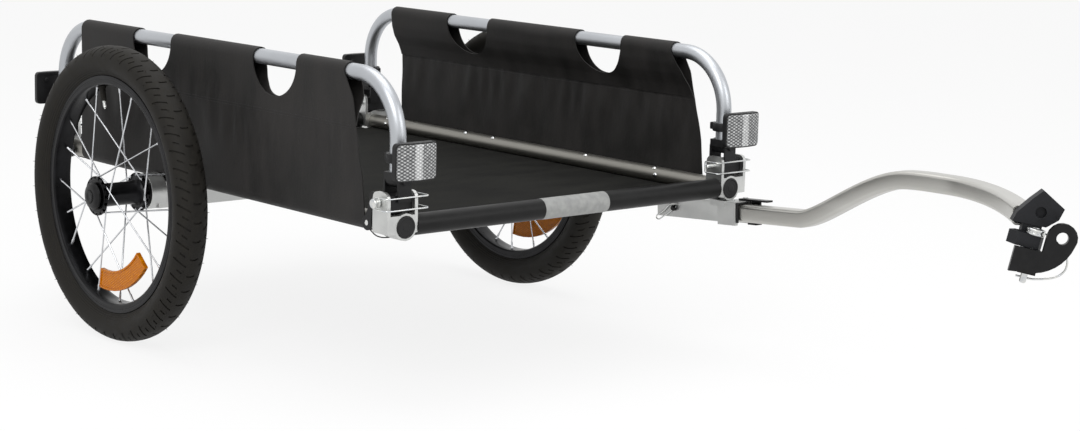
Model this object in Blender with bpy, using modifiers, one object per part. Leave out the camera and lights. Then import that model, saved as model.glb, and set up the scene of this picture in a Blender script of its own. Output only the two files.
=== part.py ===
"""Flatbed bicycle trailer: two quick-release wheels, a fabric bed between folding side rails, and a tow bar.

Metres. X runs forwards to the bicycle, Y to the trailer's left and Z up. The sizes below are taken from
the ground under the middle of the wheel axle, and the finished model stands centred on the origin.
"""

import math

import bmesh
import bpy
from mathutils import Euler, Matrix, Vector
from mathutils.geometry import interpolate_bezier

# Clearances
GAP = 0.0003
RUNNING_GAP = 0.00008

# How far a cutter runs past what it cuts, and how far a joined shape is set in from its neighbour's faces
CUT_OVERRUN = 0.010
JOIN_INSET = 0.0001

# Chamfers on the ends of pins, on knobs and on caps
PIN_CHAMFER = 0.001
KNOB_CHAMFER = 0.0015
CAP_CHAMFER = 0.0008

# Wheels
WHEEL_RADIUS = 0.200
WHEEL_PLANE_Y = 0.352
TYRE_WIDTH = 0.047
TYRE_WALL = 0.0035
TYRE_SHOULDER = 0.0165
TYRE_CROWN = 0.0065
BEAD_SEAT_RADIUS = 0.1540
RIM_FLANGE_RADIUS = 0.1605
RIM_INNER_RADIUS = 0.1475
RIM_WIDTH = 0.027
RIM_WALL = 0.0015
RIM_CHAMFER = 0.003
WHEEL_STEPS = 30
HUB_STEPS = 16
SPOKE_RADIUS = 0.001
SPOKES_PER_FLANGE = 10
SPOKE_SWEEP = math.radians(72)
SPOKE_HEAD_RADIUS = 0.0235
SPOKE_RIM_OFFSET = 0.0035
SPOKE_LACING = 0.0005
FLANGE_RADIUS = 0.0265
FLANGE_THICKNESS = 0.004
FLANGE_SPACING = 0.0632
HUB_BARREL_RADIUS = 0.016
HUB_BOSS_RADIUS = 0.0145
HUB_BOSS_LENGTH = 0.002
AXLE_RADIUS = 0.006
AXLE_CAP_RADIUS = 0.0185
AXLE_CAP_HEIGHT = 0.007
AXLE_CAP_RIM_HEIGHT = 0.0032
AXLE_CAP_FACE_RADIUS = 0.0152
AXLE_COLLAR_RADIUS = 0.010
AXLE_INSERTION = 0.050
AXLE_END_GAP = 0.0025
BUTTON_RADIUS = 0.0087
BUTTON_TRAVEL = 0.0025
BUTTON_PROUD = 0.0015
BUTTON_HEIGHT = 0.004
BUTTON_FACE_RADIUS = 0.0065
WHEEL_REFLECTOR_RADII = (0.103, 0.130)
WHEEL_REFLECTOR_SPAN = math.radians(58)
WHEEL_REFLECTOR_ANGLE = math.radians(-69)
WHEEL_REFLECTOR_THICKNESS = 0.006

# Bed frame
FLOOR_TUBE_RADIUS = 0.0111
FLOOR_TUBE_Y = 0.2755
FRAME_TUBE_Z = 0.2276
TUBE_WALL = 0.0015
CROSS_TUBE_RADIUS = 0.0132
POST_FRONT_X = 0.519
POST_REAR_X = -0.274
CROSS_TUBE_SETBACK = 0.006

# Corner castings
RING_RADIUS = 0.0168
CASTING_BACK = 0.012
CASTING_FRONT = 0.0175
END_CAP_RADIUS = 0.0138
END_CAP_THICKNESS = 0.0045
END_CAP_PROUD = 0.0010
END_CAP_FACE_RADIUS = 0.011
END_CAP_CROWN = 0.0003
EAR_INNER_Y = 0.2600
EAR_OUTER_Y = 0.3010
EAR_THICKNESS = 0.0045
EAR_TOP = 0.2705
EAR_CORNER = 0.008
SADDLE_BOTTOM = 0.2200
SADDLE_TOP = 0.2420
SPIGOT_LENGTH = 0.025

# Side rails and the knuckles they fold on
RAIL_RADIUS = 0.0101
RAIL_TOP_Z = 0.404
RAIL_BEND_RADIUS = 0.075
HINGE_Z = 0.283
HINGE_BOLT_RADIUS = 0.003
HINGE_BOLT_HEAD_RADIUS = 0.0055
HINGE_BOLT_HEAD_HEIGHT = 0.003
FOOT_TOP = 0.2655
FOOT_HALF_LENGTH = 0.011
CHEEK_RADIUS = 0.010
CHEEK_THICKNESS = 0.003
CHEEK_ROOT_DEPTH = 0.006
SKIRT_DEPTH = 0.008
SKIRT_INSET = 0.0005
HINGE_BOLT_END = 0.002
KNUCKLE_HALF_LENGTH = 0.0117
KNUCKLE_HALF_WIDTH = 0.0125
KNUCKLE_EYE_RADIUS = 0.0098
KNUCKLE_TOP = 0.2925
SOCKET_FLOOR = 0.2890

# Lock pins with wire bails
LOCK_PIN_Z = 0.2570
LOCK_PIN_RADIUS = 0.003
LOCK_PIN_HEAD_RADIUS = 0.006
LOCK_PIN_HEAD_LENGTH = 0.0095
LOCK_PIN_TIP = 0.012
BAIL_WIRE_RADIUS = 0.001
BAIL_CLEARANCE = 0.005
BAIL_BEND = 0.004

# Fabric
FABRIC = 0.0016
FLOOR_DROP = 0.0090
FLOOR_DISH = 0.0010
FLOOR_EDGE_INSET = 0.014
PANEL_REAR_X = -0.206
PANEL_SEAM_Z = 0.339
PANEL_FRONT_EDGE = ((0.404, 0.424), (0.375, 0.442), (0.339, 0.4505), (0.283, 0.465), (0.2145, 0.473))
# The two panels are divided differently, so that the hand holes stay free in the collision pieces of both
PANEL_COLUMNS = {1: 19, -1: 20}
SLEEVE_EDGE_RISE = 0.0015
SLEEVE_INNER_MIDDLE = -0.0039
FOLD_DEPTH = 0.0013
FOLD_LENGTH = 0.142
FOLD_PHASE = 0.6
RIPPLE_DEPTH = 0.0008
RIPPLE_PHASE = 2.1
GATHER_ARC = math.radians(126)
HAND_HOLE_X = (-0.018, 0.275)
HAND_HOLE_HALF_WIDTH = 0.0485
HAND_HOLE_STEPS = {1: 32, -1: 28}
HAND_HOLE_DEPTH = 0.046
FLOOR_LIP_INSET = 0.0065
FLOOR_NOTCH_INSET = 0.003
CASTING_CLEARANCE = 0.001
WASTE_REACH = 0.030

# Reflectors on the posts
REFLECTOR_WIDTH = 0.062
REFLECTOR_HEIGHT = 0.046
REFLECTOR_THICKNESS = 0.014
REFLECTOR_Z = 0.309
REFLECTOR_FACE_OFFSET = 0.0425
REFLECTOR_BAND_RADIUS = 0.0145
REFLECTOR_BAND_HEIGHT = 0.011
REFLECTOR_ARM_WIDTH = 0.012
REFLECTOR_ARM_INSET = 0.0005
REFLECTOR_ARM_SOCKET = 0.001

# Axle beam under the bed
BEAM_HALF_LENGTH = 0.019
BEAM_BOTTOM = 0.178
RECEIVER_RADIUS = 0.0245
RECEIVER_OUTER_Y = 0.3125
BEAM_SOCKET_OVERLAP = 0.010

# Tow bar and its receiver
TOW_PIVOT = Vector((0.437, 0.2855, 0.187))
TOW_TILT = math.radians(4.2)
TOW_BAR_HEIGHT = 0.023
TOW_BAR_WIDTH = 0.025
TOW_BAR_WALL = 0.0025
TOW_BAR_CORNER = 0.005
TOW_BAR_STRAIGHT_END = Vector((0.660, 0.2855, 0.2034))
TOW_BAR_CREST = Vector((0.835, 0.2855, 0.2785))
TOW_BAR_HOOK_START = Vector((0.900, 0.2855, 0.2808))
TOW_BAR_END = Vector((1.085, 0.188, 0.279))
TOW_BAR_END_YAW = math.radians(-42)
TOW_BAR_LAST_STRAIGHT = 0.020
BAR_CLEARANCE = 0.0005
CHANNEL_WALL = 0.0028
CHANNEL_LIP = 0.001
CHANNEL_BACK = 0.034
CHANNEL_OPEN_TOP = 0.018
BRACKET_BACK = 0.085
BRACKET_FRONT = 0.118
BRACKET_DROP = 0.0035
BRACKET_WALL = 0.005
PAD_HALF_WIDTH = 0.010
LATCH_THICKNESS = 0.0025
LATCH_LENGTH = 0.016
LATCH_SEAT_LENGTH = 0.016
LATCH_REACH = 0.0085
LATCH_LIP_DROP = 0.0025
LATCH_TAB_REACH = 0.0205
LATCH_RIVET_RADIUS = 0.002
LATCH_RIVET_HEAD_RADIUS = 0.0036
LATCH_RIVET_HEAD_HEIGHT = 0.0012
TOW_PIN_RADIUS = 0.004
TOW_PIN_HEAD_RADIUS = 0.0065
TOW_PIN_HEAD_HEIGHT = 0.003
TOW_PIN_END = 0.005

# Hitch, in its own axes: forwards along the bar's end, to the right and up along the hitch pin
HITCH_ROLL = math.radians(-12)
HITCH_PIN_AHEAD = 0.027
HITCH_PIN_RIGHT = 0.0075
HITCH_PIN_BELOW = 0.025
BLOCK_FRONT = -0.0109
BLOCK_OUTLINE = (
    (-0.0270, 0.0160), (-0.0240, 0.0275), (-0.0116, 0.0450), (-0.0010, 0.0580),
    (0.0275, 0.0423), (0.0243, 0.0286), (0.0123, 0.0173),
)
BLOCK_RECESS = (0.0022, 0.0327)
BLOCK_RECESS_RADIUS = 0.0065
BLOCK_RECESS_DEPTH = 0.006
LUG_OUTLINE = (
    (-0.018, -0.020), (-0.006, -0.029), (0.006, -0.020), (0.006, 0.006), (-0.002, 0.011), (-0.018, 0.0085),
)
LUG_TOP = 0.0075
PLATE_BACK = 0.007
PLATE_THICKNESS = 0.006
PLATE_LEFT = -0.0215
PLATE_STEP = 0.0105
PLATE_SHOULDER = -0.00775
PLATE_BOTTOM = -0.037
LUG_BOTTOM = PLATE_SHOULDER + GAP
NECK_LOW = (-0.0257, -0.014, 0.0035)
NECK_HIGH = (-0.012, 0.008, 0.022)
PLUG_LENGTH = 0.012
PLUG_ROOT = 0.004
PLUG_CLEARANCE = 0.0014
EAR_CENTRE = (0.028, 0.0123)
EAR_RADIUS = 0.0173
EAR_END_ANGLE = math.radians(-22)
AXLE_HOLE_RADIUS = 0.007
KEEL_CENTRE = (-0.005, 0.015)
KEEL_END_ANGLE = math.radians(-75.5)
ARM_THICKNESS = 0.005
ARM_BACK = -0.010
ARM_HALF_WIDTH = 0.0105
ARM_ROOT = 0.001
HITCH_PIN_RADIUS = 0.004
HITCH_PIN_HEAD_RADIUS = 0.0105
HITCH_PIN_HEAD_HEIGHT = 0.0072
HITCH_PIN_TIP = -0.0485
HITCH_BAIL_RADIUS = 0.00125
HITCH_BAIL_PLANE = -0.003
HITCH_BAIL_HOOK = (0.003, -0.008)
HITCH_BAIL_ROUTE = (
    (0.0220, 0.0080), (0.0340, 0.0010), (0.0430, -0.0100), (0.0455, -0.0200), (0.0425, -0.0290),
    (0.0345, -0.0355), (0.0225, -0.0398), (0.0090, -0.0430),
)

# Sizes that follow from the ones above
AXLE_Z = WHEEL_RADIUS
FABRIC_WRAP_RADIUS = FLOOR_TUBE_RADIUS + GAP + FABRIC / 2
FLOOR_Z = FRAME_TUBE_Z - FLOOR_DROP - FABRIC / 2
SLEEVE_RADIUS = RAIL_RADIUS + GAP + FABRIC / 2
BAIL_HALF_WIDTH = LOCK_PIN_HEAD_RADIUS + GAP + BAIL_WIRE_RADIUS
FOOT_BOTTOM = FRAME_TUBE_Z + RING_RADIUS + GAP
SPOKE_FLANGE_OFFSET = FLANGE_SPACING / 2 - FLANGE_THICKNESS / 2 - GAP - SPOKE_RADIUS
SPOKE_END_RADIUS = RIM_INNER_RADIUS * math.cos(math.pi / WHEEL_STEPS) - GAP - SPOKE_RADIUS / 2
HITCH_AXES = Euler((HITCH_ROLL, 0, TOW_BAR_END_YAW))
BAR_HALF_HEIGHT = TOW_BAR_HEIGHT / 2
BAR_HALF_WIDTH = TOW_BAR_WIDTH / 2
ROOF_TOP = BAR_HALF_HEIGHT + BAR_CLEARANCE + CHANNEL_WALL
LATCH_SEAT_Z = ROOF_TOP + 2 * GAP
LATCH_WEB_Y = BAR_HALF_WIDTH + BAR_CLEARANCE + LATCH_THICKNESS / 2
LATCH_MIDDLE_Y = LATCH_WEB_Y + (LATCH_THICKNESS - LATCH_REACH) / 2

for old in list(bpy.data.objects):
    bpy.data.objects.remove(old)

trailer = bpy.data.collections.new("flatbed_trailer")
bpy.context.scene.collection.children.link(trailer)
cutters = bpy.data.collections.new("cutters")
bpy.context.scene.collection.children.link(cutters)
cutters.hide_render = True


# Materials
def material(name, color, roughness, metallic=0.0):
    made = bpy.data.materials.new(name)
    made.use_nodes = True
    shader = made.node_tree.nodes["Principled BSDF"]
    shader.inputs["Base Color"].default_value = (*color, 1.0)
    shader.inputs["Roughness"].default_value = roughness
    shader.inputs["Metallic"].default_value = metallic
    made.diffuse_color = (*color, 1.0)
    return made


SATIN_TUBE = material("satin_aluminium_tube", (0.60, 0.61, 0.62), 0.35, 1.0)
CAST_ALUMINIUM = material("cast_aluminium", (0.52, 0.53, 0.54), 0.45, 1.0)
BAR_ALUMINIUM = material("tow_bar_aluminium", (0.56, 0.56, 0.54), 0.40, 1.0)
BLACK_TUBE = material("black_sleeved_tube", (0.020, 0.020, 0.022), 0.55)
BLACK_PLASTIC = material("black_plastic", (0.018, 0.018, 0.020), 0.45)
BLACK_STEEL = material("black_steel", (0.015, 0.015, 0.016), 0.40, 0.6)
BLACK_ALLOY = material("black_alloy", (0.020, 0.020, 0.021), 0.35, 0.7)
ELASTOMER = material("black_elastomer", (0.022, 0.022, 0.024), 0.60)
RUBBER = material("tyre_rubber", (0.016, 0.016, 0.017), 0.75)
SIDE_CLOTH = material("side_fabric_black", (0.022, 0.021, 0.022), 0.60)
FLOOR_CLOTH = material("floor_fabric_grey", (0.055, 0.056, 0.060), 0.50)
ZINC = material("zinc_plated_steel", (0.62, 0.63, 0.65), 0.25, 1.0)
SPOKE_STEEL = material("stainless_spoke", (0.70, 0.71, 0.73), 0.20, 1.0)
CLEAR_LENS = material("clear_reflector", (0.55, 0.56, 0.58), 0.20)
RED_LENS = material("red_reflector", (0.35, 0.01, 0.01), 0.20)
AMBER_LENS = material("amber_reflector", (0.80, 0.28, 0.01), 0.20)


# Placing: every shape is drawn in the model's own axes and moved to its object's origin
origins = {}


def empty(name, at, parent=None):
    made = bpy.data.objects.new(name, None)
    made.empty_display_size = 0.05
    trailer.objects.link(made)
    made.parent = parent
    made.location = Vector(at) - (origins[parent.name] if parent else Vector())
    origins[name] = Vector(at)
    return made


def put(name, data, look, parent, at=None):
    """A named piece, whose shape is drawn in the model's axes, with its origin at the given point."""
    at = Vector(at) if at is not None else origins[parent.name].copy()
    data.transform(Matrix.Translation(-at))
    made = bpy.data.objects.new(name, data)
    made.data.materials.append(look)
    made.parent = parent
    made.location = at - origins[parent.name]
    trailer.objects.link(made)
    origins[name] = at
    return made


def combine(owner, shapes, operation):
    """Joins or cuts the owner with helper shapes drawn in the same axes."""
    group = bpy.data.collections.new(owner.name + "_" + operation.lower())
    cutters.children.link(group)
    for number, shape in enumerate(shapes):
        shape.transform(Matrix.Translation(-origins[owner.name]))
        helper = bpy.data.objects.new(f"{group.name}_{number}", shape)
        helper.parent = owner
        helper.hide_render = True
        helper.display_type = "WIRE"
        group.objects.link(helper)
    step = owner.modifiers.new(operation.lower(), "BOOLEAN")
    step.operand_type = "COLLECTION"
    step.collection = group
    step.operation = operation
    return owner


def join(owner, *shapes):
    return combine(owner, shapes, "UNION")


def cut(owner, *shapes):
    return combine(owner, shapes, "DIFFERENCE")


def rounded(owner, angle=35):
    if owner.type == "MESH":
        owner.data.shade_smooth()
        owner.data.set_sharp_from_angle(angle=math.radians(angle))
    return owner


# Shapes
def to_mesh(shape, name="shape"):
    bmesh.ops.recalc_face_normals(shape, faces=shape.faces)
    mesh = bpy.data.meshes.new(name)
    shape.to_mesh(mesh)
    shape.free()
    return mesh


def box(low, high):
    """Box between two corners, given in any order."""
    low = Vector(low)
    high = Vector(high)
    shape = bmesh.new()
    bmesh.ops.create_cube(shape, size=1.0)
    size = Vector(abs(b - a) for a, b in zip(low, high))
    bmesh.ops.scale(shape, vec=size, verts=shape.verts)
    bmesh.ops.translate(shape, vec=(low + high) / 2, verts=shape.verts)
    return to_mesh(shape)


def rod(start, end, radius, sides=24):
    start = Vector(start)
    end = Vector(end)
    run = end - start
    shape = bmesh.new()
    bmesh.ops.create_cone(
        shape, cap_ends=True, segments=sides, radius1=radius, radius2=radius, depth=run.length
    )
    turn = Vector((0, 0, 1)).rotation_difference(run).to_matrix()
    bmesh.ops.rotate(shape, matrix=turn, verts=shape.verts)
    bmesh.ops.translate(shape, vec=(start + end) / 2, verts=shape.verts)
    return to_mesh(shape)


def bore(start, end, radius, sides=16):
    """Cutter whose flats clear a shaft of the given radius."""
    return rod(start, end, (radius + RUNNING_GAP) / math.cos(math.pi / sides), sides)


def baked(source, weld=0.000001):
    """Evaluated mesh of a helper object, which is then removed."""
    bpy.context.scene.collection.objects.link(source)
    bpy.context.view_layer.update()
    graph = bpy.context.evaluated_depsgraph_get()
    mesh = bpy.data.meshes.new_from_object(source.evaluated_get(graph))
    mesh.transform(source.matrix_world)
    bpy.data.objects.remove(source)
    shape = bmesh.new()
    shape.from_mesh(mesh)
    bmesh.ops.remove_doubles(shape, verts=shape.verts, dist=weld)
    return to_mesh(shape)


def spline_curve(name, points, kind="POLY", cyclic=False, dimensions="3D"):
    curve = bpy.data.curves.new(name, "CURVE")
    curve.dimensions = dimensions
    spline = curve.splines.new(kind)
    spline.points.add(len(points) - 1)
    for target, point in zip(spline.points, points):
        target.co = (*point, 1.0)
    spline.use_cyclic_u = cyclic
    return curve


def plate(outline, near, far, across, up):
    """Flat outline in the plane of two axes, thickened from near to far along their cross product."""
    across = Vector(across)
    up = Vector(up)
    curve = spline_curve("outline", [(a, b, 0.0) for a, b in outline], cyclic=True, dimensions="2D")
    curve.fill_mode = "BOTH"
    curve.extrude = abs(far - near) / 2
    mesh = baked(bpy.data.objects.new("outline", curve))
    normal = across.cross(up)
    turn = Matrix((across, up, normal)).transposed().to_4x4()
    mesh.transform(Matrix.Translation(normal * (near + far) / 2) @ turn)
    return mesh


def arc(centre, radius, start, end, steps):
    """Points along an arc, angles in radians, both ends included."""
    turns = [start + (end - start) * step / steps for step in range(steps + 1)]
    return [(centre[0] + radius * math.cos(t), centre[1] + radius * math.sin(t)) for t in turns]


def turned(profile, centre, axis, steps):
    """Solid of revolution. The closed profile is (distance from the axis, place along it)."""
    mesh = bpy.data.meshes.new("profile")
    points = [(r, 0.0, along) for r, along in profile]
    ends = [(i, (i + 1) % len(points)) for i in range(len(points))]
    mesh.from_pydata(points, ends, [])
    source = bpy.data.objects.new("profile", mesh)
    screw = source.modifiers.new("turn", "SCREW")
    screw.steps = steps
    screw.render_steps = steps
    screw.use_merge_vertices = True
    screw.merge_threshold = 0.000001
    solid = baked(source)
    turn = Vector((0, 0, 1)).rotation_difference(Vector(axis)).to_matrix().to_4x4()
    solid.transform(Matrix.Translation(Vector(centre)) @ turn)
    return solid


def wire(points, radius, fineness=1):
    """Round wire along points, with closed ends."""
    curve = spline_curve("wire", points)
    curve.bevel_depth = radius
    curve.bevel_resolution = fineness
    curve.use_fill_caps = True
    return baked(bpy.data.objects.new("wire", curve))


def tube(points, radius, wall, fineness):
    """Open-ended round tube along points."""
    curve = spline_curve("tube", points)
    curve.bevel_depth = radius
    curve.bevel_resolution = fineness
    source = bpy.data.objects.new("tube", curve)
    skin = source.modifiers.new("wall", "SOLIDIFY")
    skin.thickness = wall
    skin.offset = -1
    return baked(source)


def sheet(rows, columns, place, thickness=FABRIC):
    """Cloth whose mid-surface is given by place(column share, row number)."""
    shape = bmesh.new()
    bmesh.ops.create_grid(shape, x_segments=columns, y_segments=rows, size=0.5)
    for vertex in shape.verts:
        vertex.co = place(vertex.co.x + 0.5, round((vertex.co.y + 0.5) * rows))
    source = bpy.data.objects.new("sheet", to_mesh(shape))
    skin = source.modifiers.new("cloth", "SOLIDIFY")
    skin.thickness = thickness
    skin.offset = 0
    return baked(source)


root = empty("trailer", (0, 0, 0))


# Bed frame
def corner(end, side):
    """Values that every piece of one corner shares: end is 1 at the front, side is 1 on the left."""
    post_x = POST_FRONT_X if end > 0 else POST_REAR_X
    name = ("front" if end > 0 else "rear") + ("_left" if side > 0 else "_right")
    return post_x, name


CORNERS = [(end, side) for end in (1, -1) for side in (1, -1)]
CROSS_TUBE_END_Y = EAR_INNER_Y - EAR_THICKNESS / 2 - GAP


def floor_tube(side):
    name = "floor_tube_" + ("left" if side > 0 else "right")
    rear = POST_REAR_X - CASTING_FRONT + END_CAP_THICKNESS
    front = POST_FRONT_X + CASTING_FRONT - END_CAP_THICKNESS
    points = [(x, side * FLOOR_TUBE_Y, FRAME_TUBE_Z) for x in (rear, front)]
    return rounded(put(name, tube(points, FLOOR_TUBE_RADIUS, TUBE_WALL, 6), SATIN_TUBE, root))


def cross_tube(end):
    post_x, name = corner(end, 1)
    x = post_x + end * CROSS_TUBE_SETBACK
    points = [(x, y, FRAME_TUBE_Z) for y in (-CROSS_TUBE_END_Y, CROSS_TUBE_END_Y)]
    name = "cross_tube_" + name.split("_")[0]
    return rounded(put(name, tube(points, CROSS_TUBE_RADIUS, TUBE_WALL, 6), BLACK_TUBE, root))


def ear_outline(post_x, end):
    """Upright ear with rounded top corners, in X and Z."""
    back = post_x - end * CASTING_BACK
    front = post_x + end * CASTING_FRONT
    low, high = sorted((back, front))
    top = EAR_TOP - EAR_CORNER
    bottom = SADDLE_BOTTOM + EAR_CORNER
    right = arc((high - EAR_CORNER, top), EAR_CORNER, 0, math.pi / 2, 3)
    left = arc((low + EAR_CORNER, top), EAR_CORNER, math.pi / 2, math.pi, 3)
    return [(low, bottom), (high, bottom), *right, *left]


def casting(end, side):
    post_x, name = corner(end, side)
    tube_y = side * FLOOR_TUBE_Y
    back = post_x - end * CASTING_BACK
    front = post_x + end * CASTING_FRONT
    cross_x = post_x + end * CROSS_TUBE_SETBACK
    ring = rod((back, tube_y, FRAME_TUBE_Z), (front, tube_y, FRAME_TUBE_Z), RING_RADIUS, 16)
    made = put("corner_casting_" + name, ring, CAST_ALUMINIUM, root)
    inner = EAR_INNER_Y - EAR_THICKNESS / 2
    outer = EAR_OUTER_Y + EAR_THICKNESS / 2
    saddle = box(
        (back + end * JOIN_INSET, side * (inner + JOIN_INSET), SADDLE_BOTTOM),
        (front - end * JOIN_INSET, side * (outer - JOIN_INSET), SADDLE_TOP),
    )
    ears = [
        plate(
            ear_outline(post_x, end),
            -side * (centre - EAR_THICKNESS / 2),
            -side * (centre + EAR_THICKNESS / 2),
            (1, 0, 0),
            (0, 0, 1),
        )
        for centre in (EAR_INNER_Y, EAR_OUTER_Y)
    ]
    spigot = rod(
        (cross_x, side * (inner - SPIGOT_LENGTH), FRAME_TUBE_Z),
        (cross_x, side * (inner + EAR_THICKNESS), FRAME_TUBE_Z),
        CROSS_TUBE_RADIUS - TUBE_WALL - GAP,
        12,
    )
    join(made, saddle, *ears, spigot)
    tube_seat = rod(
        (back - end * CUT_OVERRUN, tube_y, FRAME_TUBE_Z),
        (front + end * CUT_OVERRUN, tube_y, FRAME_TUBE_Z),
        FLOOR_TUBE_RADIUS + GAP,
        16,
    )
    cap_seat = rod(
        (front - end * END_CAP_THICKNESS, tube_y, FRAME_TUBE_Z),
        (front + end * CUT_OVERRUN, tube_y, FRAME_TUBE_Z),
        END_CAP_RADIUS + GAP,
        16,
    )
    cut(made, tube_seat, cap_seat, lock_pin_hole(post_x, side))
    return made


def lock_pin_hole(post_x, side):
    inner = EAR_INNER_Y - EAR_THICKNESS / 2 - CUT_OVERRUN
    outer = EAR_OUTER_Y + EAR_THICKNESS / 2 + CUT_OVERRUN
    return bore((post_x, side * inner, LOCK_PIN_Z), (post_x, side * outer, LOCK_PIN_Z), LOCK_PIN_RADIUS, 12)


def end_cap(side):
    name = "end_cap_" + ("left" if side > 0 else "right")
    seat = POST_FRONT_X + CASTING_FRONT - END_CAP_THICKNESS + GAP
    face = POST_FRONT_X + CASTING_FRONT + END_CAP_PROUD
    profile = [
        (0, seat), (END_CAP_RADIUS, seat), (END_CAP_RADIUS, face - KNOB_CHAMFER),
        (END_CAP_FACE_RADIUS, face - END_CAP_CROWN), (0, face),
    ]
    solid = turned(profile, (0, side * FLOOR_TUBE_Y, FRAME_TUBE_Z), (1, 0, 0), 16)
    return rounded(put(name, solid, BLACK_PLASTIC, root))


# Rail feet, held between the ears by the lock pins, with the hinge bolts that the knuckles fold on
def rail_foot(end, side):
    post_x, name = corner(end, side)
    inner = side * (EAR_INNER_Y + EAR_THICKNESS / 2 + GAP)
    outer = side * (EAR_OUTER_Y - EAR_THICKNESS / 2 - GAP)
    cheek = KNUCKLE_HALF_LENGTH + GAP
    reach = cheek + CHEEK_THICKNESS
    centre_y = side * FLOOR_TUBE_Y
    block = box(
        (post_x - FOOT_HALF_LENGTH, inner, FOOT_BOTTOM),
        (post_x + FOOT_HALF_LENGTH, outer, FOOT_TOP),
    )
    made = put("rail_foot_" + name, block, BLACK_PLASTIC, root)
    cheeks = []
    for way in (-1, 1):
        outline = [
            (centre_y - CHEEK_RADIUS, FOOT_TOP - CHEEK_ROOT_DEPTH),
            (centre_y + CHEEK_RADIUS, FOOT_TOP - CHEEK_ROOT_DEPTH),
            *arc((centre_y, HINGE_Z), CHEEK_RADIUS, 0, math.pi, 6),
        ]
        cheeks.append(
            plate(outline, post_x + way * cheek, post_x + way * reach, (0, 1, 0), (0, 0, 1))
        )
    skirt = box(
        (post_x - reach, centre_y - CHEEK_RADIUS, FOOT_TOP - SKIRT_DEPTH),
        (post_x + reach, centre_y + CHEEK_RADIUS, FOOT_TOP - SKIRT_INSET),
    )
    bolt = rod(
        (post_x - end * (reach + HINGE_BOLT_END), centre_y, HINGE_Z),
        (post_x + end * (reach + HINGE_BOLT_HEAD_HEIGHT / 2), centre_y, HINGE_Z),
        HINGE_BOLT_RADIUS,
        12,
    )
    head = rod(
        (post_x + end * (reach - SKIRT_INSET), centre_y, HINGE_Z),
        (post_x + end * (reach + HINGE_BOLT_HEAD_HEIGHT), centre_y, HINGE_Z),
        HINGE_BOLT_HEAD_RADIUS,
        16,
    )
    join(made, *cheeks, skirt, bolt, head)
    cut(made, lock_pin_hole(post_x, side))
    return made


# Folding sides
def side_hinge(side):
    name = "side_hinge_" + ("left" if side > 0 else "right")
    return empty(name, ((POST_FRONT_X + POST_REAR_X) / 2, side * FLOOR_TUBE_Y, HINGE_Z), root)


def knuckle(end, side, hinge):
    post_x, name = corner(end, side)
    y = side * FLOOR_TUBE_Y
    near = (post_x - KNUCKLE_HALF_LENGTH, y, HINGE_Z)
    far = (post_x + KNUCKLE_HALF_LENGTH, y, HINGE_Z)
    eye = rod(near, far, KNUCKLE_EYE_RADIUS, 16)
    made = put("rail_knuckle_" + name, eye, BLACK_PLASTIC, hinge)
    collar = box(
        (post_x - KNUCKLE_HALF_LENGTH + JOIN_INSET, y - KNUCKLE_HALF_WIDTH, HINGE_Z),
        (post_x + KNUCKLE_HALF_LENGTH - JOIN_INSET, y + KNUCKLE_HALF_WIDTH, KNUCKLE_TOP),
    )
    join(made, collar)
    socket_end = (post_x, y, KNUCKLE_TOP + CUT_OVERRUN)
    socket = rod((post_x, y, SOCKET_FLOOR), socket_end, RAIL_RADIUS + GAP, 16)
    ends = KNUCKLE_HALF_LENGTH + CUT_OVERRUN
    bolt_hole = bore((post_x - ends, y, HINGE_Z), (post_x + ends, y, HINGE_Z), HINGE_BOLT_RADIUS, 12)
    cut(made, socket, bolt_hole)
    return made


def rail(side, hinge):
    name = "rail_" + ("left" if side > 0 else "right")
    y = side * FLOOR_TUBE_Y
    top = RAIL_TOP_Z - RAIL_BEND_RADIUS
    front = arc((POST_FRONT_X - RAIL_BEND_RADIUS, top), RAIL_BEND_RADIUS, 0, math.pi / 2, 5)
    rear = arc((POST_REAR_X + RAIL_BEND_RADIUS, top), RAIL_BEND_RADIUS, math.pi / 2, math.pi, 5)
    foot = SOCKET_FLOOR + GAP
    route = [(POST_FRONT_X, foot), *front, *rear, (POST_REAR_X, foot)]
    points = [(x, y, z) for x, z in route]
    return rounded(put(name, tube(points, RAIL_RADIUS, TUBE_WALL, 4), SATIN_TUBE, hinge))


def panel_front_x(z):
    """Forward edge of a side panel, which slopes forwards towards the floor."""
    edge = PANEL_FRONT_EDGE
    for (z_high, x_high), (z_low, x_low) in zip(edge, edge[1:]):
        if z >= z_low:
            return x_high + (x_low - x_high) * min(max((z_high - z) / (z_high - z_low), 0), 1)
    return edge[-1][1]


def gathers(x, z):
    """How far the single layer below the seam swells outwards: one wave and a shallower one half as long."""
    if z > PANEL_SEAM_Z:
        return 0.0
    depth = math.sin(GATHER_ARC * (PANEL_SEAM_Z - z) / (PANEL_SEAM_Z - HINGE_Z))
    wave = math.sin(2 * math.pi * x / FOLD_LENGTH + FOLD_PHASE)
    ripple = math.sin(4 * math.pi * x / FOLD_LENGTH + RIPPLE_PHASE)
    return depth * (FOLD_DEPTH * wave + RIPPLE_DEPTH * ripple)


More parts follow.
